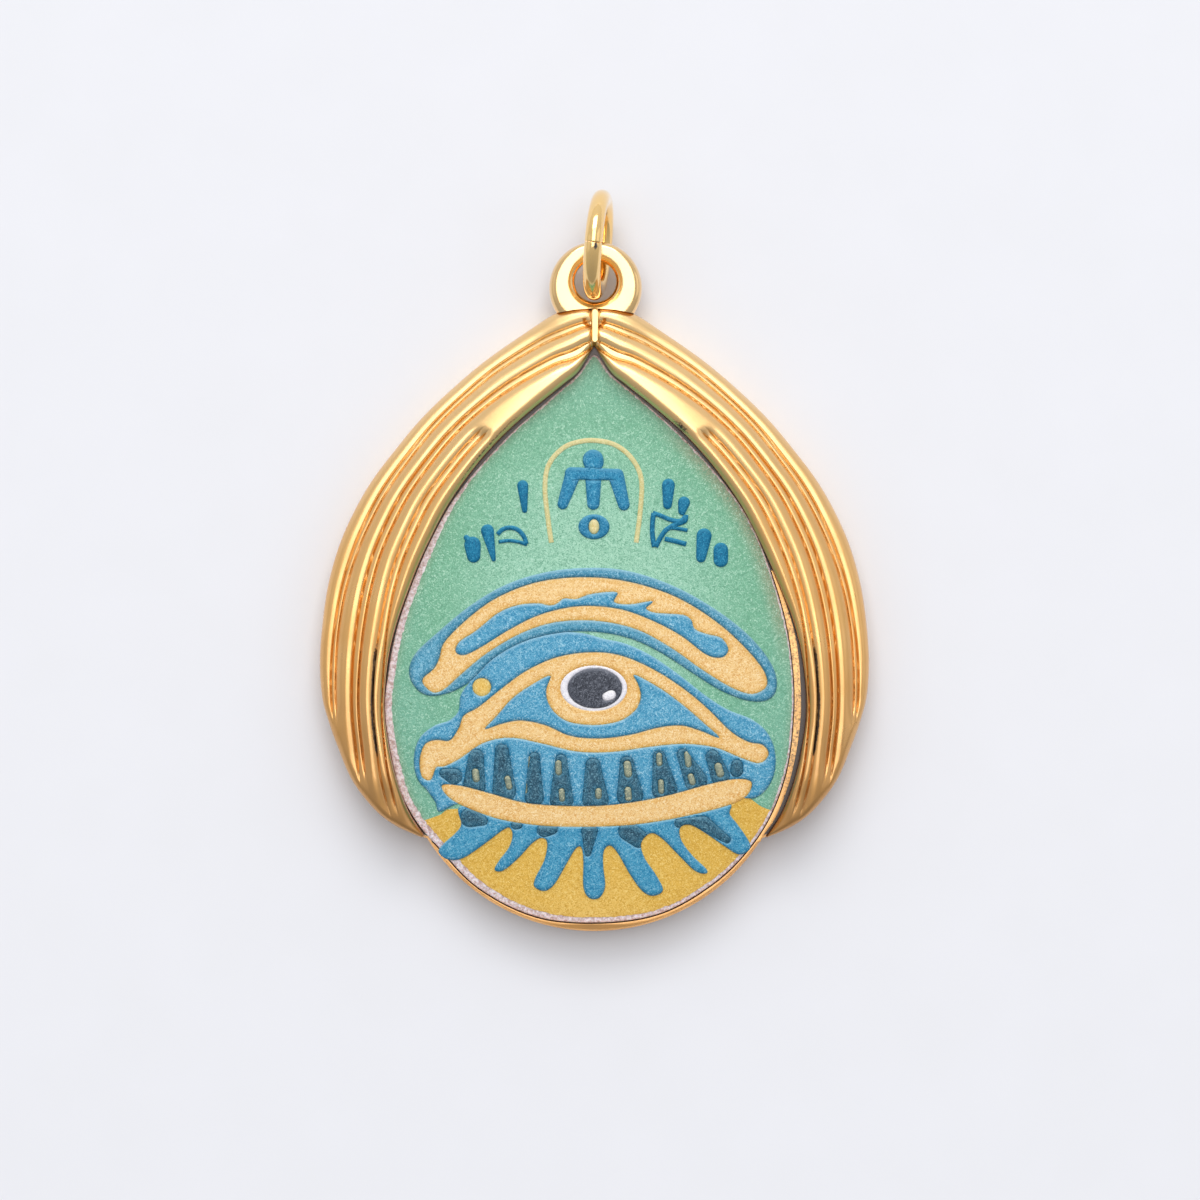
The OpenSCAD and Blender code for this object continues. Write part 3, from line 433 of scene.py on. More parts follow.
def net(
    name: str,
    groups: dict[str, Sequence[Sequence[Loop]]],
    cell: float,
    low: float,
    height: Callable[[float], float],
) -> Piece:
    """Makes a cushion of fine triangles inside some outlines.

    Args:
        name: the object's name.
        groups: groups of outlines, under shape, keep, add and cut. It covers what lies in a shape
            and in every keep, or in an add, but not in a cut.
        cell: size of its triangles.
        low: height of its foot.
        height: gives its thickness at a distance from its edge.

    Returns:
        The mesh object, with its distance from the edge stored as the attribute rim.
    """
    points: list[Vector] = []
    faces: list[list[int]] = []
    owners: list[tuple[str, int]] = []
    for kind, sets in groups.items():
        for number, loops in enumerate(sets):
            for loop in loops:
                faces.append(list(range(len(points), len(points) + len(loop))))
                points += [Vector(p) for p in anticlockwise(loop)]
                owners.append((kind, number))
    base = [p for kind in ("shape", "add") for loops in groups.get(kind, ()) for loop in loops for p in loop]
    (x0, x1), (y0, y1) = ((min(a), max(a)) for a in zip(*base))
    for row in range(int((y1 - y0) / (0.866 * cell)) + 1):
        for column in range(int((x1 - x0) / cell) + 1):
            points.append(Vector((x0 + cell * (column + 0.5 * (row % 2)), y0 + 0.866 * cell * row)))
    verts, _, tris, _, _, sources = delaunay_2d_cdt(points, [], faces, 1, 1e-4, True)
    kept = []
    for tri, source in zip(tris, sources):
        within = {owners[k] for k in source}
        kinds = {kind for kind, _ in within}
        keeps = all(("keep", k) in within for k in range(len(groups.get("keep", ()))))
        if "cut" not in kinds and ("add" in kinds or ("shape" in kinds and keeps)):
            kept.append(tri)
    used = sorted({k for tri in kept for k in tri})
    place = {k: i for i, k in enumerate(used)}
    mesh = bpy.data.meshes.new(name)
    mesh.from_pydata([(*verts[k], low) for k in used], [], [[place[k] for k in tri] for tri in kept])
    piece = bpy.data.objects.new(name, mesh)
    bpy.context.scene.collection.objects.link(piece)
    counts: dict[tuple[int, int], int] = {}
    for tri in kept:
        for a, b in zip(tri, [*tri[1:], tri[0]]):
            key = (min(a, b), max(a, b))
            counts[key] = counts.get(key, 0) + 1
    edge = []
    for (a, b), count in counts.items():
        if count == 1:
            steps = int((verts[a] - verts[b]).length / 0.02) + 1
            edge += [verts[a].lerp(verts[b], i / steps) for i in range(steps + 1)]
    tree = KDTree(len(edge))
    for i, p in enumerate(edge):
        tree.insert((*p, 0), i)
    tree.balance()
    solo(piece)
    bpy.ops.object.mode_set(mode="EDIT")
    bpy.ops.mesh.select_all(action="SELECT")
    bpy.ops.mesh.extrude_region_move(TRANSFORM_OT_translate={"value": (0, 0, 1)})
    bpy.ops.mesh.select_all(action="SELECT")
    bpy.ops.mesh.normals_make_consistent(inside=False)
    bpy.ops.object.mode_set(mode="OBJECT")
    rims = []
    for vertex in piece.data.vertices:
        rims.append(tree.find((vertex.co.x, vertex.co.y, 0))[2])
        if vertex.co.z > low + 0.5:
            vertex.co.z = low + height(rims[-1])
    add_attribute(piece, "rim", rims)
    return piece


def carve(piece: Piece, tool: Piece, how: Carve) -> None:
    """Cuts a piece with a tool, keeps what lies in the tool, or adds the tool to it.

    Args:
        piece: the mesh object to change.
        tool: the mesh object to change it with, which is then removed.
        how: what the tool does.
    """
    solo(piece)
    modifier = piece.modifiers.new("carve", "BOOLEAN")
    modifier.operation = how.value
    modifier.solver = "EXACT"
    modifier.object = tool
    bpy.ops.object.modifier_apply(modifier=modifier.name)
    bpy.data.objects.remove(tool)


def round_top(piece: Piece, steps: Sequence[tuple[float, float]]) -> None:
    """Rounds the rim of a block's flat top by small insets that also rise.

    Args:
        piece: the block.
        steps: for each inset, how far in it goes and how far up.
    """
    top = max(v.co.z for v in piece.data.vertices)
    solo(piece)
    bpy.ops.object.mode_set(mode="EDIT")
    select_faces(piece, lambda middle, normal: normal.z > 0.9 and middle.z > top - 0.001)
    for inward, rise in steps:
        bpy.ops.mesh.inset(thickness=inward, depth=0, use_even_offset=False)
        bpy.ops.transform.translate(value=(0, 0, rise))
    bpy.ops.object.mode_set(mode="OBJECT")


def score(piece: Piece, cell: float) -> None:
    """Scores a piece in a square grid, so that its faces can follow a curved surface.

    Args:
        piece: the mesh object.
        cell: distance between the lines.
    """
    corners = [Vector(c) for c in piece.bound_box]
    solo(piece)
    bpy.ops.object.mode_set(mode="EDIT")
    for axis in (0, 1):
        normal = (1, 0, 0) if axis == 0 else (0, 1, 0)
        low = min(c[axis] for c in corners)
        high = max(c[axis] for c in corners)
        lines = math.floor((high - low) / cell)
        for i in range(1, lines + 1):
            place = low + (high - low) * i / (lines + 1)
            bpy.ops.mesh.select_all(action="SELECT")
            bpy.ops.mesh.bisect(plane_co=[place * x for x in normal], plane_no=normal, threshold=1e-5)
    bpy.ops.object.mode_set(mode="OBJECT")


def soften(piece: Piece, width: float, segments: int = 3, angle: float = 40) -> None:
    """Rounds a piece's sharp edges.

    Args:
        piece: the mesh object.
        width: width of the rounding.
        segments: its number of steps.
        angle: edges sharper than this are rounded, in degrees.
    """
    solo(piece)
    modifier = piece.modifiers.new("soften", "BEVEL")
    modifier.width = width
    modifier.segments = segments
    modifier.limit_method = "ANGLE"
    modifier.angle_limit = math.radians(angle)
    modifier.use_clamp_overlap = True
    bpy.ops.object.modifier_apply(modifier=modifier.name)


def hand_over(
    piece: Piece,
    finish: bpy.types.Material,
    nodes: Sequence[str],
    body: Body = Body.PENDANT,
    smooth_angle: float = 35,
) -> Piece:
    """Turns a finished piece to metres, gives it its finish and ties it to the frame.

    Args:
        piece: the mesh object, in millimetres.
        finish: its material.
        nodes: the frame's nodes that it stands for.
        body: the body that it rides on.
        smooth_angle: edges flatter than this look smooth, in degrees.

    Returns:
        The same object.
    """
    piece.data.transform(Matrix.Scale(MM, 4))
    piece.data.materials.clear()
    piece.data.materials.append(finish)
    solo(piece)
    bpy.ops.object.shade_smooth_by_angle(angle=math.radians(smooth_angle))
    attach(piece, body.value)
    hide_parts(*nodes)
    log.info("%s: %d faces, stands for %s", piece.name, len(piece.data.polygons), ", ".join(nodes))
    return piece


def add_attribute(piece: Piece, name: str, values: Sequence[float]) -> None:
    """Stores one number for each of a piece's vertices under a name that its finish reads."""
    attribute = piece.data.attributes.new(name, "FLOAT", "POINT")
    attribute.data.foreach_set("value", values)


# ---- Finishes ----


def linear(code: str) -> tuple[float, float, float, float]:
    """Turns a colour from sRGB hex to linear values with full alpha."""
    shares = [int(code[i : i + 2], 16) / 255 for i in (1, 3, 5)]
    r, g, b = (c / 12.92 if c <= 0.04045 else ((c + 0.055) / 1.055) ** 2.4 for c in shares)
    return (r, g, b, 1.0)


def per_mm(size: float) -> float:
    """Returns the pattern scale at which a feature is this many millimetres across."""
    return 1 / (size * MM)


def add_node(
    tree: Tree,
    kind: str,
    settings: dict[str | int, Any] | None = None,
    links: dict[str | int, Socket] | None = None,
) -> bpy.types.Node:
    """Adds a node with its settings and what feeds it.

    Args:
        tree: the node tree.
        kind: the node's type name.
        settings: properties in lower case, or sockets by name or number, and their values.
        links: sockets by name or number, and the outputs that feed them.

    Returns:
        The new node.
    """
    node = tree.nodes.new(kind)
    for key, value in (settings or {}).items():
        if isinstance(key, str) and key.islower():
            setattr(node, key, value)
        else:
            node.inputs[key].default_value = value
    for key, source in (links or {}).items():
        tree.links.new(source, node.inputs[key])
    return node


def layered(tree: Tree, under: Socket | str, *layers: tuple[Socket, str]) -> Socket:
    """Lays colours over one another.

    Args:
        tree: the node tree.
        under: the lowest colour's output, or its hex code.
        layers: for each further colour, the output that says how much of it shows, and its hex code.

    Returns:
        The last blend's output.
    """
    for share, over in layers:
        settings: dict[str | int, Any] = {"data_type": "RGBA", 7: linear(over)}
        links: dict[str | int, Socket] = {0: share}
        if isinstance(under, str):
            settings[6] = linear(under)
        else:
            links[6] = under
        under = add_node(tree, "ShaderNodeMix", settings, links).outputs[2]
    return under


class Finish:
    """A surface of the charm, as it is in the real thing."""

    name: str

    def shading(self, tree: Tree, place: Socket) -> Shading:
        """Builds what feeds the shader.

        Args:
            tree: the material's node tree.
            place: the Object coordinates.

        Returns:
            The shader's fixed values, and the outputs that feed its other inputs.
        """
        raise NotImplementedError

    def make(self) -> bpy.types.Material:
        """Returns the material."""
        material = bpy.data.materials.new(self.name)
        material.use_nodes = True
        tree = material.node_tree
        tree.nodes.clear()
        place = add_node(tree, "ShaderNodeTexCoord").outputs["Object"]
        shader = add_node(tree, "ShaderNodeBsdfPrincipled", *self.shading(tree, place))
        add_node(tree, "ShaderNodeOutputMaterial", {}, {"Surface": shader.outputs["BSDF"]})
        return material


@dataclass(frozen=True)
class GoldPlate(Finish):
    """Bright gold plating over a polished zinc die casting, or over brass wire.

    The plating is a mirror with a slight orange-peel wave, fine grain where polishing didn't
    reach, brown tarnish and old polish in places, and painted shade darkening the creases and the
    gap round the stone. It is painted paler up the charm, as light from above, and browner towards
    the foot, as painted shade. A thin clear lacquer whitens its highlights.
    """

    name: str = "gold_plating_on_die_casting"
    face: str = "#f1c07c"
    deep: str = "#dda554"
    tarnish_and_shade: str = "#2e1a0d"
    # The pale colour is painted light up the charm, from above; the brown one is painted shade towards its
    # foot
    painted_light_top: str = "#f9d79c"
    painted_shade_foot: str = "#a8733a"
    # Where the painted light makes the plating pale, and where the painted shade makes it brown, along the
    # charm
    painted_light_run: tuple[float, float] = (5.0, 15.0)
    painted_shade_run: tuple[float, float] = (4.0, -5.0)
    painted_light_share: float = 0.62
    roughness: tuple[float, float] = (0.27, 0.4)
    cloud_mm: float = 2.2
    wave_mm: float = 0.9
    grain_mm: float = 0.07
    speckle_mm: float = 0.1
    wave: float = 0.12
    grain: float = 0.16
    lacquer: float = 0.35

    def shading(self, tree: Tree, place: Socket) -> Shading:
        """Builds what feeds the shader, as in Finish."""
        cloud, wave, grain, speckle = (
            add_node(
                tree,
                "ShaderNodeTexNoise",
                {"Scale": per_mm(size), "Detail": detail, "Roughness": fineness},
                {"Vector": place},
            ).outputs["Fac"]
            for size, detail, fineness in (
                (self.cloud_mm, 2.0, 0.5),
                (self.wave_mm, 1.0, 0.5),
                (self.grain_mm, 3.0, 0.5),
                (self.speckle_mm, 2.0, 0.8),
            )
        )
        # Tarnish, and the painted shade in the creases and the gap round the stone, break up into specks
        # where they are thin
        darkening = add_node(tree, "ShaderNodeAttribute", {"attribute_name": "tarnish_and_shade"}).outputs["Fac"]
        sum_of_both = add_node(tree, "ShaderNodeMath", {"operation": "ADD"}, {0: darkening, 1: speckle}).outputs[0]
        # Painted light and shade along the charm: paler towards the eye, browner towards the foot
        along = add_node(tree, "ShaderNodeSeparateXYZ", {}, {0: place}).outputs["Y"]
        pale, brown, dark, rough = (
            add_node(
                tree,
                "ShaderNodeMapRange",
                {"From Min": start, "From Max": end, "To Min": low, "To Max": high},
                {"Value": value},
            ).outputs["Result"]
            for value, start, end, low, high in (
                (along, *(y * MM for y in self.painted_light_run), 0.0, self.painted_light_share),
                (along, *(y * MM for y in self.painted_shade_run), 0.0, self.painted_light_share),
                (sum_of_both, 0.85, 1.15, 0.0, 1.0),
                (cloud, 0.35, 0.7, *self.roughness),
            )
        )
        tints = ((cloud, self.deep), (pale, self.painted_light_top), (brown, self.painted_shade_foot), (dark, self.tarnish_and_shade))
        ripple = add_node(
            tree, "ShaderNodeBump", {"Strength": self.wave, "Distance": 0.05 * MM}, {"Height": wave}
        ).outputs["Normal"]
        bump = add_node(
            tree,
            "ShaderNodeBump",
            {"Strength": self.grain, "Distance": 0.01 * MM},
            {"Height": grain, "Normal": ripple},
        ).outputs["Normal"]
        return (
            {"Metallic": 1.0, "Coat Weight": self.lacquer, "Coat IOR": 2.0, "Coat Roughness": 0.12},
            {"Base Color": layered(tree, self.face, *tints), "Roughness": rough, "Normal": bump},
        )


@dataclass(frozen=True)
class PrintedInk(Finish):
    """UV-cured ink jetted in many thin passes.

    It dries semi-matt with a sandy grain. Its colour mottles from drop to drop and deepens along its
    edge. The slopes that face up the charm, towards the light, are painted paler: a painted highlight.
    """

    name: str
    colour: str
    mottle: str
    shade: str
    edge: str
    speck_and_highlight: str
    edge_w: float = 0.3
    roughness: float = 0.45
    # Drawn a little coarser than the real drops, so that the sandy grain still shows
    grain_mm: float = 0.12
    speck: float = 0.95
    painted_highlight_share: float = 0.75
    relief: float = 1.0

    def base(self, tree: Tree, place: Socket) -> Socket:
        """Returns the ink's clean colour, before grain and shade."""
        cloud = add_node(tree, "ShaderNodeTexNoise", {"Scale": per_mm(2.0), "Detail": 3.0}, {"Vector": place})
        rim = add_node(tree, "ShaderNodeAttribute", {"attribute_name": "rim"})
        near = add_node(
            tree,
            "ShaderNodeMapRange",
            {"interpolation_type": "SMOOTHSTEP", "From Max": self.edge_w, "To Min": 1.0, "To Max": 0.0},
            {"Value": rim.outputs["Fac"]},
        )
        tints = ((cloud.outputs["Fac"], self.mottle), (near.outputs["Result"], self.edge))
        return layered(tree, self.colour, *tints)

    def shading(self, tree: Tree, place: Socket) -> Shading:
        """Builds what feeds the shader, as in Finish."""
        grain = add_node(
            tree,
            "ShaderNodeTexNoise",
            {"Scale": per_mm(self.grain_mm), "Detail": 3.0, "Roughness": 0.6, "Distortion": 2.0},
            {"Vector": place},
        ).outputs["Fac"]
        # Painted highlight: slopes that face up the charm, towards the light, take the pale speck colour
        normal = add_node(tree, "ShaderNodeTexCoord").outputs["Normal"]
        facing = add_node(tree, "ShaderNodeSeparateXYZ", {}, {0: normal}).outputs["Y"]
        dark, light, painted_highlight, rough = (
            add_node(
                tree,
                "ShaderNodeMapRange",
                {"From Min": start, "From Max": end, "To Min": low, "To Max": high},
                {"Value": value},
            ).outputs["Result"]
            for value, start, end, low, high in (
                (grain, 0.5, 0.37, 0.0, self.speck),
                (grain, 0.52, 0.66, 0.0, self.speck),
                (facing, 0.12, 0.75, 0.0, self.painted_highlight_share),
                (grain, 0.0, 1.0, self.roughness - 0.08, self.roughness + 0.08),
            )
        )
        tints = ((dark, self.shade), (light, self.speck_and_highlight), (painted_highlight, self.speck_and_highlight))
        bump = add_node(
            tree, "ShaderNodeBump", {"Strength": self.relief, "Distance": 0.03 * MM}, {"Height": grain}
        ).outputs["Normal"]
        return (
            {"IOR": 1.5, "Specular IOR Level": 0.2},
            {"Base Color": layered(tree, self.base(tree, place), *tints), "Roughness": rough, "Normal": bump},
        )


@dataclass(frozen=True)
class FieldInk(PrintedInk):
    """A printed colour field that fades from its middle to its edge, and greys where it thins; a wider grey
    band down its upper right edge is thin ink with painted shade from the drape beside it.
    """

    middle: Point = (0, 9.0)
    reach: tuple[float, float] = (9.0, 9.0)
    stops: tuple[tuple[float, str], ...] = ()

    def base(self, tree: Tree, place: Socket) -> Socket:
        """Returns the field's colour, before grain and shade."""
        centred = add_node(
            tree,
            "ShaderNodeMapping",
            {
                "vector_type": "TEXTURE",
                "Location": (self.middle[0] * MM, self.middle[1] * MM, 0),
                "Scale": (self.reach[0] * MM, self.reach[1] * MM, 1000),
            },
            {"Vector": place},
        )
        far = add_node(tree, "ShaderNodeVectorMath", {"operation": "LENGTH"}, {0: centred.outputs[0]})
        cloud = add_node(tree, "ShaderNodeTexNoise", {"Scale": per_mm(3.0), "Detail": 2.0}, {"Vector": place})
        drift = add_node(
            tree, "ShaderNodeMapRange", {"To Min": -0.12, "To Max": 0.12}, {"Value": cloud.outputs["Fac"]}
        )
        both = {0: far.outputs["Value"], 1: drift.outputs["Result"]}
        mixed = add_node(tree, "ShaderNodeMath", {"operation": "ADD"}, both)
        ramp = add_node(tree, "ShaderNodeValToRGB", {}, {"Fac": mixed.outputs[0]})
        while len(ramp.color_ramp.elements) < len(self.stops):
            ramp.color_ramp.elements.new(1.0)
        for element, (place_on_ramp, code) in zip(ramp.color_ramp.elements, self.stops):
            element.position = place_on_ramp
            element.color = linear(code)
        # Greys along the edge where the ink thins, and in the band of painted shade down the upper right edge
        thin = add_node(tree, "ShaderNodeAttribute", {"attribute_name": "thin"})
        return layered(tree, ramp.outputs["Color"], (thin.outputs["Fac"], self.edge))


@dataclass(frozen=True)
class CastAcrylic(Finish):
    """Laser-cut cast acrylic: milky, smooth on top and frosted with fine chips along its cut."""

    name: str = "laser_cut_acrylic"
    face: str = "#efe4ea"
    frost: str = "#b3958f"
    chip_mm: float = 0.15

    def shading(self, tree: Tree, place: Socket) -> Shading:
        """Builds what feeds the shader, as in Finish."""
        chips = add_node(
            tree,
            "ShaderNodeTexNoise",
            {"Scale": per_mm(self.chip_mm), "Detail": 4.0, "Roughness": 0.7},
            {"Vector": place},
        ).outputs["Fac"]
        chipped = add_node(
            tree, "ShaderNodeMapRange", {"From Min": 0.4, "From Max": 0.64}, {"Value": chips}
        ).outputs["Result"]
        bump = add_node(tree, "ShaderNodeBump", {"Strength": 0.5, "Distance": 0.03 * MM}, {"Height": chips})
        rough = add_node(tree, "ShaderNodeMapRange", {"To Min": 0.25, "To Max": 0.6}, {"Value": chips})
        return (
            {"IOR": 1.49, "Subsurface Weight": 0.15, "Subsurface Scale": 0.3 * MM},
            {
                "Base Color": layered(tree, self.face, (chipped, self.frost)),
                "Roughness": rough.outputs["Result"],
                "Normal": bump.outputs["Normal"],
            },
        )


@dataclass(frozen=True)
class ClearEpoxy(Finish):
    """Clear epoxy glue, set in a thin glossy film with faint flow marks."""

    name: str = "clear_epoxy_glue"
    face: str = "#e9e3cf"
    flow: str = "#d9cfae"

    def shading(self, tree: Tree, place: Socket) -> Shading:
        """Builds what feeds the shader, as in Finish."""
        flow = add_node(
            tree, "ShaderNodeTexNoise", {"Scale": per_mm(1.5), "Detail": 2.0}, {"Vector": place}
        ).outputs["Fac"]
        bump = add_node(tree, "ShaderNodeBump", {"Strength": 0.3, "Distance": 0.02 * MM}, {"Height": flow})
        return (
            {"IOR": 1.5, "Roughness": 0.15},
            {"Base Color": layered(tree, self.face, (flow, self.flow)), "Normal": bump.outputs["Normal"]},
        )


@dataclass(frozen=True)
class PaintedBoard(Finish):
    """A pale, matt painted board with the faintest tooth, for the table."""

    name: str = "pale_painted_board"
    face: str = "#e6e7ed"
    tooth: str = "#e3e4e9"

    def shading(self, tree: Tree, place: Socket) -> Shading:
        """Builds what feeds the shader, as in Finish."""
        tooth = add_node(tree, "ShaderNodeTexNoise", {"Scale": per_mm(4.0), "Detail": 2.0}, {"Vector": place})
        colour = layered(tree, self.face, (tooth.outputs["Fac"], self.tooth))
        return {"Roughness": 0.8, "Specular IOR Level": 0.2}, {"Base Color": colour}


# ---- Casting ----


@dataclass
class Casting:
    """The gold frame: plate, rim wall, two fluted drapes, collar and hanging eye."""

    plate_t: float = 0.8
    rim_top: float = 1.95
    ledge: float = 0.13
    drape_crest: float = 3.05
    drape_edge: float = 1.75
    apex_crest: float = 2.8
    apex_edge: float = 2.4
    apex_run: float = 5.0
    tip_crest: float = 2.45
    tip_run: float = 3.0
    edge_roll: float = 0.34
    inner_roll: float = 0.5
    face_bow: float = 1.7
    rows: int = 240
    columns: int = 130
    # Places of the three channels' edges, inner and outer, at stations along the drape. 0 is the
    # edge beside the stone and 1 the edge that the flutes would run on to
    stations: tuple[float, ...] = (0, 1, 2, 3, 4, 5, 6, 8, 10, 11, 12, 13, 14, 15, 16, 17, 18, 20)
    inner_channel: tuple[tuple[float, float], ...] = (
        (0.19, 0.27), (0.19, 0.27), (0.19, 0.27), (0.19, 0.27), (0.19, 0.27), (0.19, 0.27),
        (0.195, 0.285), (0.205, 0.3), (0.19, 0.28), (0.165, 0.255), (0.115, 0.215), (0.06, 0.19),
        (0.03, 0.175), (0.035, 0.165), (0.055, 0.18), (0.085, 0.205), (0.12, 0.235), (0.2, 0.3),
    )
    middle_channel: tuple[tuple[float, float], ...] = (
        (0.0, 0.16), (0.08, 0.25), (0.21, 0.35), (0.33, 0.45), (0.42, 0.53), (0.475, 0.57),
        (0.495, 0.585), (0.49, 0.585), (0.475, 0.57), (0.455, 0.555), (0.43, 0.535), (0.405, 0.515),
        (0.39, 0.495), (0.385, 0.49), (0.39, 0.49), (0.41, 0.505), (0.43, 0.52), (0.47, 0.56),
    )
    outer_channel: tuple[tuple[float, float], ...] = (
        (0.53, 0.66), (0.57, 0.68), (0.62, 0.72), (0.7, 0.785), (0.755, 0.825), (0.765, 0.83),
        (0.765, 0.83), (0.755, 0.825), (0.755, 0.82), (0.765, 0.825), (0.765, 0.825), (0.75, 0.82),
        (0.73, 0.8), (0.72, 0.78), (0.72, 0.78), (0.72, 0.78), (0.72, 0.78), (0.72, 0.78),
    )
    # Where each channel begins and ends along the drape
    inner_run: tuple[float, float] = (5.3, 18.9)
    middle_run: tuple[float, float] = (0.3, 17.5)
    outer_run: tuple[float, float] = (0.2, 15.4)
    channel_depth: tuple[float, float, float] = (0.07, 0.12, 0.07)
    crease_depth: tuple[float, float, float] = (0.14, 0.18, 0.14)
    crease_w: float = 0.035
    channel_ease: float = 0.06
    end_fade: float = 1.3
    shoulder_drop: float = 0.13
    shoulder_w: float = 0.24
    inward: float = 0.1
    valley_depth: float = 0.4
    valley_w: float = 0.13
    # The cup-shaped groove under the eye
    cup: Point = (0.03, 17.82)
    cup_r: float = 0.42
    cup_w: float = 0.045
    cup_depth: float = 0.24
    # The pin that closes the seam below the eye
    pin_top: Point = (0.03, 18.08)
    pin_foot: Point = (0.03, 16.87)
    pin_r: tuple[float, float] = (0.2, 0.19)
    pin_low: float = 1.9
    pin_t: tuple[float, float] = (0.5, 0.86)
    pin_round: float = 0.07
    pin_cell: float = 0.03
    # The plate's top, a little in from its edge, is painted dark: painted shade where it shows in the gap
    # round the stone
    lip: float = 0.09
    lip_fade: float = 0.03
    gap_painted_shade: float = 0.9
    rim_round: float = 0.13
    arm_tarnish: float = 0.44

    eye_pos: Point = (0.05, 19.2)
    eye_r: float = 2.09
    eye_t: float = 1.48
    eye_z: float = 1.65
    hole_r: float = 0.92
    hole_lift: float = 0.3
    squareness: float = 0.55

    def outline(self) -> Loop:
        """Returns the casting's outline."""
        lower = open_curve(DRAPE_OUTER)[STEPS * APEX_KNOTS :]
        bowl = arc(BOWL_CENTRE, BOWL_R, BOWL_FROM, -180 - BOWL_FROM, 120)
        return APEX + lower + bowl + flip(lower) + [(-APEX[1][0], APEX[1][1])]

    def channel_at(self, places: Sequence[tuple[float, float]], s: float) -> tuple[float, float]:
        """Returns the places of a channel's two edges at s along the drape."""
        i = max(k for k, station in enumerate(self.stations[:-1]) if station <= s)
        t = (s - self.stations[i]) / (self.stations[i + 1] - self.stations[i])
        return curve_at(places, i + t)

    def drape_height(self, s: float, v: float, side: Side) -> tuple[Vector, float]:
        """Finds a point of a drape's face.

        Args:
            s: place along the drape, from 0 at the apex to 20 at the lower tip.
            v: place across it, from 0 beside the stone to 1 at its outer edge.
            side: which drape.

        Returns:
            The point, and how much stain and painted crease shade sits there.
        """
        a = Vector(curve_at(DRAPE_INNER, s))
        c = Vector(curve_at(DRAPE_OUTER, s))
        # Lower down on the right, the rim's arm shows beside the stone
        beside_arm = 1 - smooth((a.y - 4) / 3) if side is Side.RIGHT else 0
        a += (a - c).normalized() * self.inward * smooth(s) * (1 - beside_arm)
        w = (c - a).length
        full_w = (Vector(curve_at(FLUTE_OUTER, s)) - a).length
        u = v * w / full_w
        to_rim = (1 - v) * w
        at_apex = smooth(s / self.apex_run)
        crest = mix(self.tip_crest, mix(self.apex_crest, self.drape_crest, at_apex),
                    smooth((20 - s) / self.tip_run))
        z = mix(crest, mix(self.apex_edge, self.drape_edge, at_apex), u**self.face_bow)
        tarnish_and_shade = 0.0
        channels = zip(
            (self.inner_channel, self.middle_channel, self.outer_channel),
            (self.inner_run, self.middle_run, self.outer_run),
            self.channel_depth,
            self.crease_depth,
        )
        near_rim = smooth(to_rim / 0.3)
        for places, (start, end), depth, crease in channels:
            lo, hi = self.channel_at(places, s)
            live = smooth((s - start) / 0.3) * smooth((end - s) / self.end_fade) * near_rim
            d_lo, d_hi = (u - lo) * full_w, (u - hi) * full_w
            bed = smooth(d_lo / self.channel_ease + 0.5) * smooth(-d_hi / self.channel_ease + 0.5)
            lines = math.exp(-abs(d_lo) / self.crease_w) + 0.7 * math.exp(-abs(d_hi) / self.crease_w)
            shoulder = math.exp(-((max(-d_lo, d_hi, 0) / self.shoulder_w) ** 2))
            z -= live * (depth * bed + crease * lines + self.shoulder_drop * shoulder)
            # Painted shade: darker along each channel's two edges, in the creases
            crease_shade = 0.4 * math.exp(-((d_lo / 0.035) ** 2)) + 0.3 * math.exp(-((d_hi / 0.03) ** 2))
            tarnish_and_shade += live * crease_shade
        z -= rolled(to_rim, self.edge_roll) + rolled(v * w, self.inner_roll)
        p = a + (c - a) * v
        z -= self.valley_depth * math.exp(-((p.x / self.valley_w) ** 2))
        from_cup = (p - Vector(self.cup)).length - self.cup_r
        if p.y < self.cup[1]:
            z -= self.cup_depth * math.exp(-((from_cup / self.cup_w) ** 2))
        tarnish_and_shade += self.soot_at(s, u, full_w, side)
        return Vector((p.x, p.y, z)), tarnish_and_shade

    def soot_at(self, s: float, u: float, full_w: float, side: Side) -> float:
        """Finds the extra tarnish of a drape: old polish in a crease, and a stain by the stone.

        Args:
            s: place along the drape, from 0 at the apex to 20 at the lower tip.
            u: place across it, as a share of the flutes' width.
            full_w: the flutes' width there.
            side: which drape.

        Returns:
            How much tarnish sits there.
        """
        line = mix(0.21, 0.185, smooth((s - 12.5) / 1.5)) + 0.012 * smooth((s - 15.5) / 1.5)
        run = smooth((s - 12.3) / 0.8) * smooth((16.6 - s) / 0.5)
        darkening = 0.75 * run * math.exp(-(((u - line) * full_w / 0.07) ** 2))
        if side is Side.RIGHT:
            stain = ((u - 0.035) * full_w / 0.2) ** 2 + ((s - 5.0) / 0.35) ** 2
            return darkening + 0.62 * math.exp(-stain)
        stain = ((u - 0.05 + 0.008 * (s - 5)) * full_w / 0.07) ** 2 + ((s - 5.8) / 1.8) ** 4
        return darkening + 0.5 * math.exp(-stain)

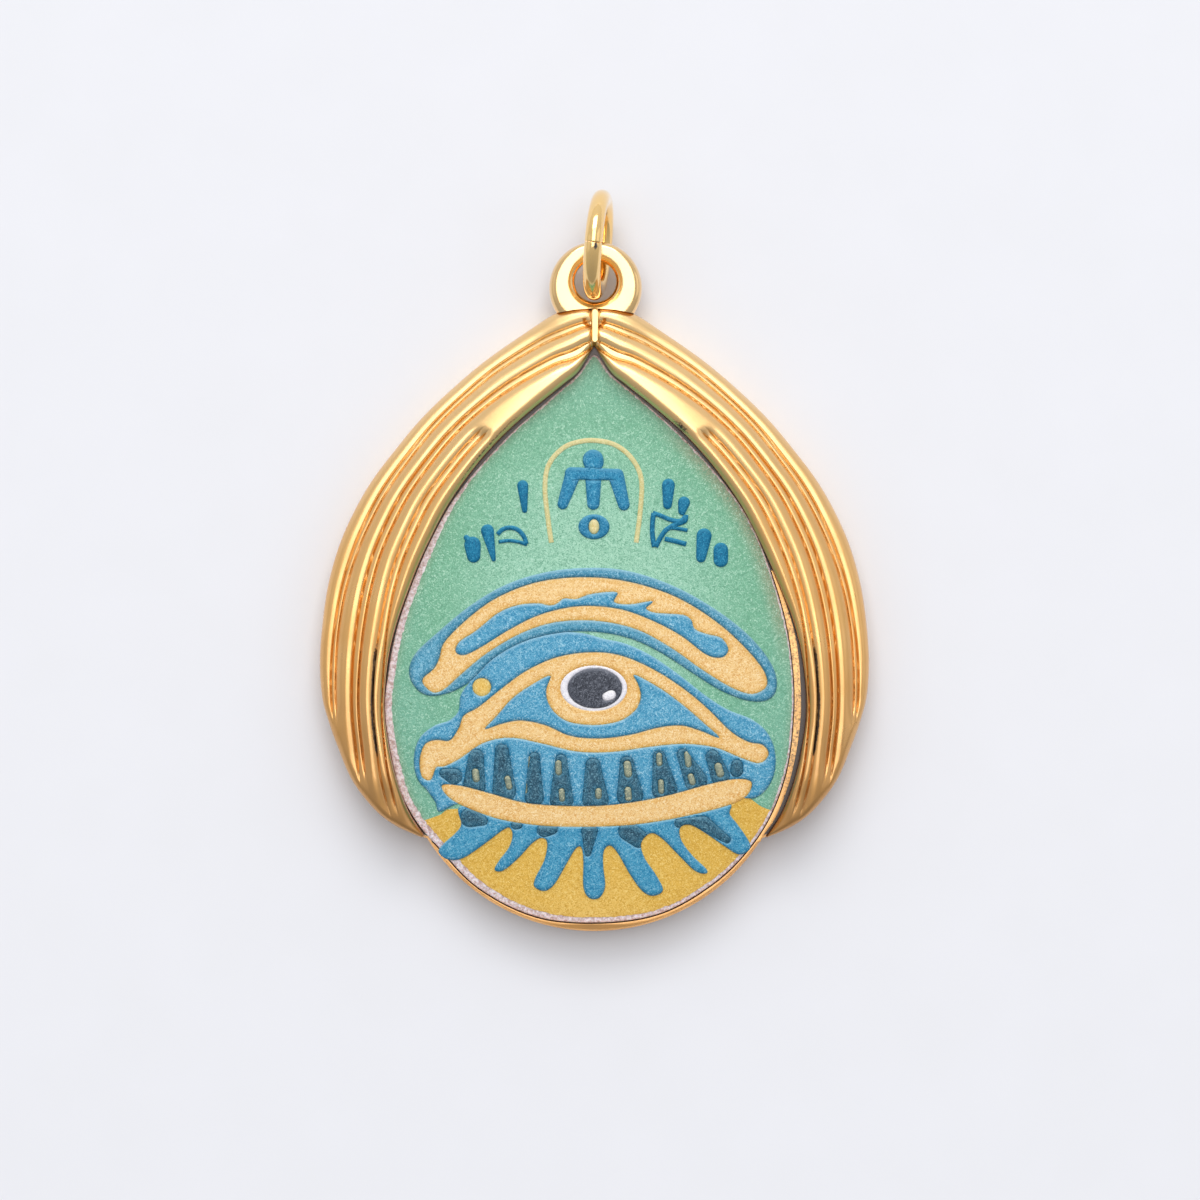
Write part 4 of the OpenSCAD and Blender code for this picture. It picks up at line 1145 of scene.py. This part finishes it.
    def drape(self, side: Side) -> Piece:
        """Shapes one fluted drape from a grid.

        Args:
            side: which drape.

        Returns:
            The mesh object, with its stains and painted crease shade stored as an attribute.
        """
        bpy.ops.object.select_all(action="DESELECT")
        bpy.ops.mesh.primitive_grid_add(x_subdivisions=self.columns, y_subdivisions=self.rows, size=1)
        piece = bpy.context.object
        piece.name = f"{side.name.lower()}_drape_fluted"
        bpy.ops.object.mode_set(mode="EDIT")
        bpy.ops.mesh.select_all(action="SELECT")
        bpy.ops.mesh.extrude_region_move(TRANSFORM_OT_translate={"value": (0, 0, 1)})
        bpy.ops.object.mode_set(mode="OBJECT")
        tarnish_and_shade = []
        last = len(DRAPE_INNER) - 1
        for vertex in piece.data.vertices:
            s, v = (vertex.co.y + 0.5) * last, vertex.co.x + 0.5
            point, darkening = self.drape_height(min(max(s, 0), last - 1e-6), min(max(v, 0), 1), side)
            if vertex.co.z < 0.5:
                point.z = self.plate_t
            vertex.co = (point.x * side.value, point.y, point.z)
            tarnish_and_shade.append(darkening)
        add_attribute(piece, "tarnish_and_shade", tarnish_and_shade)
        bpy.ops.object.mode_set(mode="EDIT")
        bpy.ops.mesh.select_all(action="SELECT")
        bpy.ops.mesh.normals_make_consistent(inside=False)
        bpy.ops.object.mode_set(mode="OBJECT")
        return piece

    def back_plate(self) -> Piece:
        """Returns the flat plate, painted dark inside its lip as shade where it shows in the gap."""
        piece = block("back_plate_rounded", [self.outline()], 0, self.plate_t)
        solo(piece)
        bpy.ops.object.mode_set(mode="EDIT")
        select_faces(piece, lambda middle, normal: normal.z > 0.9)
        for inward in (self.lip, self.lip_fade):
            bpy.ops.mesh.inset(thickness=inward, depth=0, use_even_offset=False)
        bpy.ops.object.mode_set(mode="OBJECT")
        # Painted shade: the plate's top inside the lip is darkened where it shows through the gap
        add_attribute(piece, "tarnish_and_shade", [self.gap_painted_shade if v.select else 0.0 for v in piece.data.vertices])
        return piece

    def bottom_rim(self) -> Piece:
        """Returns the rim wall round the bowl, with the arm that runs up the stone's right side."""
        bowl = arc(BOWL_CENTRE, BOWL_R - self.ledge, 0, 360, 256)[:-1]
        piece = block("bottom_rim_rounded", [bowl], self.plate_t, self.rim_top)
        carve(piece, block("span", [RIM_SPAN], 0, 4), Carve.KEEP)
        arm = block("arm", [open_curve(RIM_ARM) + ARM_FILL], self.plate_t, self.rim_top)
        carve(piece, arm, Carve.ADD)
        well = grown(loop_curve(STONE_EDGE), WELL_GAP)
        carve(piece, block("well", [well], 0, 4), Carve.CUT)
        soften(piece, self.rim_round, 4, 50)
        on_arm = [smooth((v.co.x - 7.9) / 0.8) * smooth((v.co.y + 5.6) / 1.5) for v in piece.data.vertices]
        add_attribute(piece, "tarnish_and_shade", [self.arm_tarnish * share for share in on_arm])
        return piece

    def collar(self) -> Piece:
        """Returns the pin that closes the seam between the drapes, under the eye."""
        pin = drop(self.pin_top, self.pin_foot, *self.pin_r)

        def height(d: float) -> float:
            return mix(*self.pin_t, smooth(d / self.pin_round))

        return net("apex_collar_pin", {"shape": [[pin]]}, self.pin_cell, self.pin_low, height)

    def hanging_eye(self) -> Piece:
        """Returns the eye at the top, thick below and thin above its hole."""
        bpy.ops.object.select_all(action="DESELECT")
        bpy.ops.mesh.primitive_torus_add(
            major_segments=128, minor_segments=48, major_radius=2, minor_radius=0.5
        )
        piece = bpy.context.object
        piece.name = "hanging_eye_polished"
        for vertex in piece.data.vertices:
            x, y, z = vertex.co
            around = Vector((x, y)).normalized()
            c = (math.hypot(x, y) - 2) / 0.5
            outer = Vector(self.eye_pos) + self.eye_r * around
            inner = Vector(self.eye_pos) + Vector((0, self.hole_lift)) + self.hole_r * around
            across = math.copysign(abs(c) ** self.squareness, c)
            up = math.copysign(abs(z / 0.5) ** self.squareness, z)
            place = (outer + inner) / 2 + (outer - inner) / 2 * across
            vertex.co = (place.x, place.y, self.eye_z + self.eye_t / 2 * up)
        carve(piece, block("body", [self.outline()], -1, 4), Carve.CUT)
        return piece

    def build(self, satin: bpy.types.Material, polished: bpy.types.Material) -> None:
        """Builds the casting's pieces and dresses them.

        Args:
            satin: the finish of most of them.
            polished: the brighter finish of the eye.
        """
        hand_over(self.back_plate(), satin, ["back_plate"])
        hand_over(self.bottom_rim(), satin, ["bottom_rim"])
        hand_over(self.drape(Side.LEFT), satin, ["left_drape"], smooth_angle=60)
        hand_over(self.drape(Side.RIGHT), satin, ["right_drape"], smooth_angle=60)
        hand_over(self.collar(), satin, ["apex_collar"])
        hand_over(self.hanging_eye(), polished, ["hanging_eye"], smooth_angle=50)


# ---- Stone and print ----


@dataclass
class Stone:
    """The pale insert that carries the print, and the glue under it."""

    foot: float = 0.9
    top: float = 2.85
    dome_r: float = 70.0
    dome_y: float = 3.0
    cell: float = 0.8

    def dome(self, x: float, y: float) -> float:
        """Returns the height of the stone's face at a place."""
        return self.top - self.dome_r + math.sqrt(self.dome_r**2 - x**2 - (y - self.dome_y) ** 2)

    def settle(self, piece: Piece) -> None:
        """Lays a flat piece, made as if the stone's face were at height 0, on the dome."""
        for vertex in piece.data.vertices:
            vertex.co.z += self.dome(vertex.co.x, vertex.co.y)

    def build(self, acrylic: bpy.types.Material, glue: bpy.types.Material) -> None:
        """Builds the stone, and dresses the glue bed that the frame already holds.

        Args:
            acrylic: the stone's finish.
            glue: the glue's finish.
        """
        piece = block("stone_domed", [loop_curve(STONE_EDGE)], -1, -0.04)
        round_top(piece, ((0.015, 0.02), (0.02, 0.012), (0.03, 0.008)))
        score(piece, self.cell)
        for vertex in piece.data.vertices:
            low = vertex.co.z < -0.9
            vertex.co.z = self.foot if low else vertex.co.z + self.dome(vertex.co.x, vertex.co.y)
        hand_over(piece, acrylic, ["stone"])
        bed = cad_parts["glue_bed"]
        bed.data.materials.clear()
        bed.data.materials.append(glue)
        log.info("%s: kept from the frame", bed.name)


@dataclass
class Print:
    """The raised print on the stone: colour fields, and cream and blue ink above them."""

    stone: Stone
    field_t: float = 0.04
    cream_t: float = 0.05
    blue_t: float = 0.12
    bite: float = 0.03
    inset: float = 0.2
    tip_inset: float = 0.08
    shift: Point = (0.12, 0.05)
    raggedness: float = 0.015
    arch_w: float = 0.22
    cell: float = 0.1
    field_cell: float = 0.25
    shoulder_w: float = 0.15
    finishes: dict[str, bpy.types.Material] = field(default_factory=dict)

    def outline(self) -> Loop:
        """Returns the ragged edge of the printed area."""
        dice = random.Random(7)
        stone = [Vector(p) for p in loop_curve(STONE_EDGE, 18)]
        edge = []
        for (x, y), full in zip(grown([tuple(p) for p in stone], -self.tip_inset), stone):
            # The ink runs nearly to the edge in the tip. The inner line would cross itself there
            low = 1 - smooth((y - 7) / 5)
            if min((Vector((x, y)) - q).length for q in stone) > 0.97 * self.tip_inset:
                more = (Vector((x, y)) - full) * (self.inset / self.tip_inset - 1) * low
                edge.append((x + more.x + self.shift[0] * low, y + more.y + self.shift[1] * low))
        edge = edge[len(edge) // 2 :] + edge[: len(edge) // 2]
        return grown(edge, [dice.gauss(0, self.raggedness) for _ in edge])

    def lay(
        self,
        name: str,
        groups: dict[str, Sequence[Sequence[Loop]]],
        thickness: float,
        finish: str,
        node: str | None = None,
    ) -> Piece:
        """Lays down one colour of ink above the fields.

        Args:
            name: the frame's node that it stands for.
            groups: its outlines, as for net.
            thickness: how far it stands above the fields.
            finish: the name of its finish.
            node: the frame's node that it stands for, where that isn't its name.

        Returns:
            The finished piece.
        """

        def height(d: float) -> float:
            left = 1 - min(d / self.shoulder_w, 1)
            return self.bite + thickness * mix(0.3, 1, math.sqrt(1 - left * left))

        piece = net(f"{name}_raised", groups, self.cell, self.field_t - self.bite, height)
        self.stone.settle(piece)
        return hand_over(piece, self.finishes[finish], [node or name], smooth_angle=60)

    def lay_field(self, name: str, finish: str, kind: str) -> None:
        """Lays down one of the two thin colour fields.

        Args:
            name: the frame's node that it stands for.
            finish: the name of its finish.
            kind: whether it keeps or cuts what lies below the line between the fields.
        """
        outline = self.outline()
        groups = {"shape": [[outline]], kind: [[open_curve(FIELD_LINE) + FIELD_FOOT]]}

        def height(d: float) -> float:
            return self.field_t * min(1, 0.5 + 3 * d)

        piece = net(f"{name}_printed", groups, self.field_cell, 0.0, height)
        tree = KDTree(len(outline))
        for i, (x, y) in enumerate(outline):
            tree.insert((x, y, 0), i)
        tree.balance()
        thin = []
        for vertex in piece.data.vertices:
            x, y, _ = vertex.co
            near = tree.find((x, y, 0))[2]
            # Down the upper right edge the field greys in a wide band: thin ink, with painted shade from the
            # drape wall beside it
            high_up = smooth((y - 1) / 4) * smooth((13.5 - y) / 2) if x > 0 else 0.0
            thin.append(max(0.9 * high_up * smooth(1 - near / 0.8), 0.3 * smooth(1 - near / 0.3)))
        add_attribute(piece, "thin", thin)
        self.stone.settle(piece)
        hand_over(piece, self.finishes[finish], [name])

    def build(self) -> None:
        """Builds every colour of the print."""
        self.lay_field("green_field_ink", "green", "cut")
        self.lay_field("gold_field_ink", "corn", "keep")
        brow_outer, brow_cream, brow_streak = map(loop_curve, (BROW_OUTER, BROW_CREAM, BROW_STREAK))
        eye_line, eye_fill, lower_lid, lashes = map(loop_curve, (EYE_LINE, EYE_FILL, LOWER_LID, LASHES))
        teeth, seeds, roots, outer_root = drops(TEETH), drops(SEEDS), drops(LASH_ROOTS), [drop(*OUTER_ROOT)]
        white, pupil = oval((-0.03, 1.22), 1.5, 1.02), oval((0.02, 1.22), 1.22, 0.9)
        glint, bead = drop((0.55, 0.84), (0.75, 0.92), 0.2, 0.22), oval((-5.05, 1.27), 0.42, 0.41)
        cream, blue = self.cream_t, self.blue_t
        arch = stroke(open_curve(ARCH_LINE), self.arch_w)
        seed_eye = oval(SPROUT_EYE, 0.24, 0.34, 24)
        lid_cuts = [[brow_outer], [eye_line], [lower_lid], teeth, [bead]]
        leaves = drops(SIDE_LEAVES) + [stroke(open_curve(line), w) for w, line in SIDE_STROKES]
        self.lay("arch_ink", {"shape": [[arch]]}, cream, "arch")
        self.lay("brow_ink", {"shape": [[brow_cream]], "cut": [[brow_streak]]}, cream, "cream")
        self.lay("brow_band_ink", {"shape": [[brow_outer]], "cut": [[brow_cream]]}, blue, "band")
        self.lay("brow_streak_ink", {"shape": [[brow_streak]]}, blue, "sky")
        self.lay("lid_ink", {"shape": [[loop_curve(LID)]], "cut": lid_cuts}, blue, "sky")
        line = {"shape": [[eye_line]], "cut": [[eye_fill], [white]]}
        self.lay("eye_line_ink", line, cream, "cream")
        self.lay("eye_fill_ink", {"shape": [[eye_fill]]}, blue, "sky")
        self.lay("corner_bead_ink", {"shape": [[bead]]}, cream, "bead")
        self.lay("sclera_ink", {"shape": [[white]], "cut": [[pupil]]}, cream, "white")
        self.lay("pupil_ink", {"shape": [[pupil]], "cut": [[glint]]}, blue, "black")
        self.lay("glint_ink", {"shape": [[glint]]}, blue, "white")
        mouth = [[eye_line], [lower_lid]]
        self.lay("teeth_ink", {"shape": [teeth], "cut": [*mouth, seeds]}, blue, "navy")
        self.lay("seed_ink", {"shape": [seeds], "keep": [teeth], "cut": mouth}, blue, "seed")
        self.lay("sprout_seed", {"shape": [[seed_eye]]}, blue, "arch", "seed_ink")
        self.lay("lower_lid_ink", {"shape": [[lower_lid]]}, cream, "cream")
        dark = {"shape": [roots], "keep": [[lashes]], "add": [outer_root], "cut": [[lower_lid]]}
        light = {"shape": [[lashes]], "cut": [[lower_lid], roots, outer_root]}
        self.lay("lash_ink", light, blue, "ray")
        self.lay("lash_root_ink", dark, blue, "navy")
        ring = {"shape": [[*drops(PETALS), oval(SPROUT_EYE, 0.7, 0.56)]], "cut": [[seed_eye]]}
        self.lay("sprout_ink", ring, blue, "sea")
        self.lay("side_leaf_ink", {"shape": [leaves]}, blue, "deep")


# ---- Jump ring ----


@dataclass
class JumpRing:
    """The round wire ring in the hanging eye, with its butted split."""

    outer_d: float = 5.0
    wire_d: float = 0.8
    split_w: float = 0.03
    lean: float = 6.0
    yaw: float = 5.0
    # The dull spot on top of the wire, below the split
    pit: Point = (0.06, 20.95)
    pit_r: tuple[float, float] = (0.1, 0.2)
    pit_above: float = 4.0
    pit_tarnish: float = 0.95

    def build(self, plating: bpy.types.Material) -> None:
        """Builds the ring where it rests and dresses it.

        Args:
            plating: its finish.
        """
        low, high = (Vector(corner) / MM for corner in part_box("jump_ring"))
        centre = Vector(((low.x + high.x) / 2, (low.y + high.y) / 2, self.outer_d / 2))
        radius = (self.outer_d - self.wire_d) / 2
        lean, yaw = math.radians(self.lean), math.radians(self.yaw)
        bpy.ops.object.select_all(action="DESELECT")
        bpy.ops.mesh.primitive_torus_add(
            location=centre,
            rotation=(0, math.radians(90) - lean, -yaw),
            major_radius=radius,
            minor_radius=self.wire_d / 2,
            major_segments=192,
            minor_segments=40,
        )
        piece = bpy.context.object
        piece.name = "jump_ring_wire"
        bpy.ops.object.transform_apply(location=True, rotation=True, scale=True)
        up = Matrix.Rotation(-yaw, 3, "Z") @ Matrix.Rotation(-lean, 3, "Y") @ Vector((0, 0, radius))
        bpy.ops.mesh.primitive_cube_add(size=1, location=centre + up, rotation=(0, -lean, -yaw))
        saw = bpy.context.object
        saw.scale = (2 * self.wire_d, self.split_w, 2 * self.wire_d)
        solo(saw)
        bpy.ops.object.transform_apply(location=True, rotation=True, scale=True)
        carve(piece, saw, Carve.CUT)
        soften(piece, 0.02, 2, 60)
        tarnish_and_shade = []
        for vertex in piece.data.vertices:
            x, y, z = vertex.co
            off = ((x - self.pit[0]) / self.pit_r[0]) ** 2 + ((y - self.pit[1]) / self.pit_r[1]) ** 2
            tarnish_and_shade.append(self.pit_tarnish * smooth(z - self.pit_above) * math.exp(-off))
        add_attribute(piece, "tarnish_and_shade", tarnish_and_shade)
        hand_over(piece, plating, ["jump_ring"], Body.RING, 50)


# ---- Studio ----


@dataclass
class Studio:
    """The pale table, soft lights and the camera above it."""

    table: float = 3000.0
    view_height: float = 330.0
    view_centre: Point = (0.25, 5.175)
    view_w: float = 54.0
    view_plane: float = 1.5
    sensor: float = 36.0
    # How bright the room is towards the foot of the charm, and towards its ring
    world: tuple[float, float] = (0.36, 0.83)
    boxes: tuple[tuple[str, tuple[float, float, float], float, float, float], ...] = (
        ("top_softbox", (0, 420, 400), 440, 270, 3.6),
        ("overhead_diffuser", (0, 150, 610), 420, 400, 2.15),
        ("left_softbox", (-420, 60, 260), 240, 320, 0.15),
        ("right_softbox", (420, 60, 260), 240, 320, 0.35),
    )

    def build(self) -> None:
        """Builds the table, the lights, the world and the camera."""
        bpy.ops.object.select_all(action="DESELECT")
        bpy.ops.mesh.primitive_plane_add(size=self.table * MM, location=(0, 0, -0.01 * MM))
        table = bpy.context.object
        table.name = "table"
        table.data.materials.append(PaintedBoard().make())
        target = Vector((0, 5, 1)) * MM
        for name, place, width, height, radiance in self.boxes:
            lamp = bpy.data.lights.new(name, "AREA")
            lamp.shape = "RECTANGLE"
            lamp.size, lamp.size_y = width * MM, height * MM
            lamp.energy = radiance * math.pi * lamp.size * lamp.size_y
            light = bpy.data.objects.new(name, lamp)
            light.location = Vector(place) * MM
            light.rotation_euler = (target - light.location).to_track_quat("-Z", "Y").to_euler()
            bpy.context.scene.collection.objects.link(light)
        world = bpy.data.worlds.new("studio")
        world.use_nodes = True
        world.node_tree.nodes.clear()
        tree = world.node_tree
        way = add_node(tree, "ShaderNodeTexCoord").outputs["Generated"]
        parts = add_node(tree, "ShaderNodeSeparateXYZ", {}, {0: way})
        fade = add_node(
            tree,
            "ShaderNodeMapRange",
            {"From Min": -1.0, "From Max": 1.0, "To Min": self.world[0], "To Max": self.world[1]},
            {"Value": parts.outputs["Y"]},
        )
        white = {"Color": (1.0, 1.0, 1.0, 1.0)}
        glow = add_node(tree, "ShaderNodeBackground", white, {"Strength": fade.outputs["Result"]})
        add_node(tree, "ShaderNodeOutputWorld", {}, {"Surface": glow.outputs[0]})
        bpy.context.scene.world = world
        lens = bpy.data.cameras.new("camera")
        lens.sensor_width = self.sensor
        lens.lens = self.sensor * (self.view_height - self.view_plane) / self.view_w
        lens.clip_start, lens.clip_end = 0.01, 10
        camera = bpy.data.objects.new("camera", lens)
        camera.location = Vector((*self.view_centre, self.view_height)) * MM
        bpy.context.scene.collection.objects.link(camera)
        bpy.context.scene.camera = camera
        bpy.context.scene.view_settings.view_transform = "Standard"


def make_inks() -> dict[str, bpy.types.Material]:
    """Returns the print's finishes by name."""
    # Each row: colour, mottle, grain shade, edge, and the pale speck colour, which is also the painted
    # highlight on up-facing slopes
    plain = {
        "sky": ("#5fa9ca", "#4c9bc0", "#2f7fa8", "#3787ae", "#a4d0e2"),
        "band": ("#68adcb", "#5299b8", "#2f7896", "#3d7f9d", "#9ecbdc"),
        "sea": ("#2f90b8", "#2480a8", "#14678f", "#2377a1", "#66abc9"),
        "deep": ("#0f7ca3", "#0a7199", "#055a80", "#0a6b93", "#3f97ba"),
        "navy": ("#356278", "#2c556b", "#1d3b4c", "#2f6c88", "#6f9cae"),
        "ray": ("#4fa2c5", "#3d93b9", "#22749e", "#2f84ad", "#8cc1d7"),
        "cream": ("#f3d092", "#f0c885", "#d79f58", "#e3b058", "#fae3b8"),
        "arch": ("#e6cf92", "#ddc98a", "#cdb878", "#c9cb96", "#eddcab"),
        "bead": ("#ebc36a", "#e6bb58", "#d2a648", "#d9bb6c", "#f3d890"),
        "seed": ("#b3b091", "#a3a287", "#7d867a", "#7f8f80", "#cfcba8"),
        "white": ("#fafafd", "#f3f2f8", "#dddce6", "#e6e3ec", "#ffffff"),
        "black": ("#484c57", "#3d414b", "#2b2e36", "#565a66", "#7d818c"),
    }
    made = {name: PrintedInk(f"uv_ink_{name}", *codes).make() for name, codes in plain.items()}
    green = FieldInk(
        "uv_ink_green_field", "#98caaf", "#8cc2a5", "#689f84", "#9c987c", "#b4dcc6",
        middle=(0, 5.5), reach=(10.0, 11.0),
        stops=((0.0, "#a0d0b5"), (0.35, "#97cab0"), (0.7, "#75b392"), (1.0, "#78b59c")),
    )
    corn = FieldInk(
        "uv_ink_gold_field", "#e6bb56", "#dfb450", "#c99a3c", "#e0b864", "#f3d482",
        middle=(0, -9.3), reach=(8.5, 5.0), stops=((0.0, "#edc46a"), (0.5, "#e5b955"), (1.0, "#dcb04c")),
    )
    return made | {"green": green.make(), "corn": corn.make()}


def main() -> None:
    """Builds the charm and the studio round it."""
    logging.basicConfig(level=logging.INFO, format="%(name)s: %(message)s")
    Studio().build()
    # The polished eye's pale colour up the charm is painted light, as in the satin plating
    polished = GoldPlate(
        "polished_gold_plating", "#f6cb86", "#e2ad5c",
        painted_light_top="#f4cd8c", roughness=(0.1, 0.18), wave=0.2, lacquer=0.7,
    )
    Casting().build(GoldPlate().make(), polished.make())
    stone = Stone()
    stone.build(CastAcrylic().make(), ClearEpoxy().make())
    Print(stone, finishes=make_inks()).build()
    # The wire's pale colour, high on the charm, is painted light from above
    wire = GoldPlate(
        "gold_plating_on_wire", "#ffd37e", "#f6bd5a", painted_light_top="#ffd684", roughness=(0.1, 0.16), lacquer=0.9
    )
    JumpRing().build(wire.make())


if __name__ == "__main__":
    main()
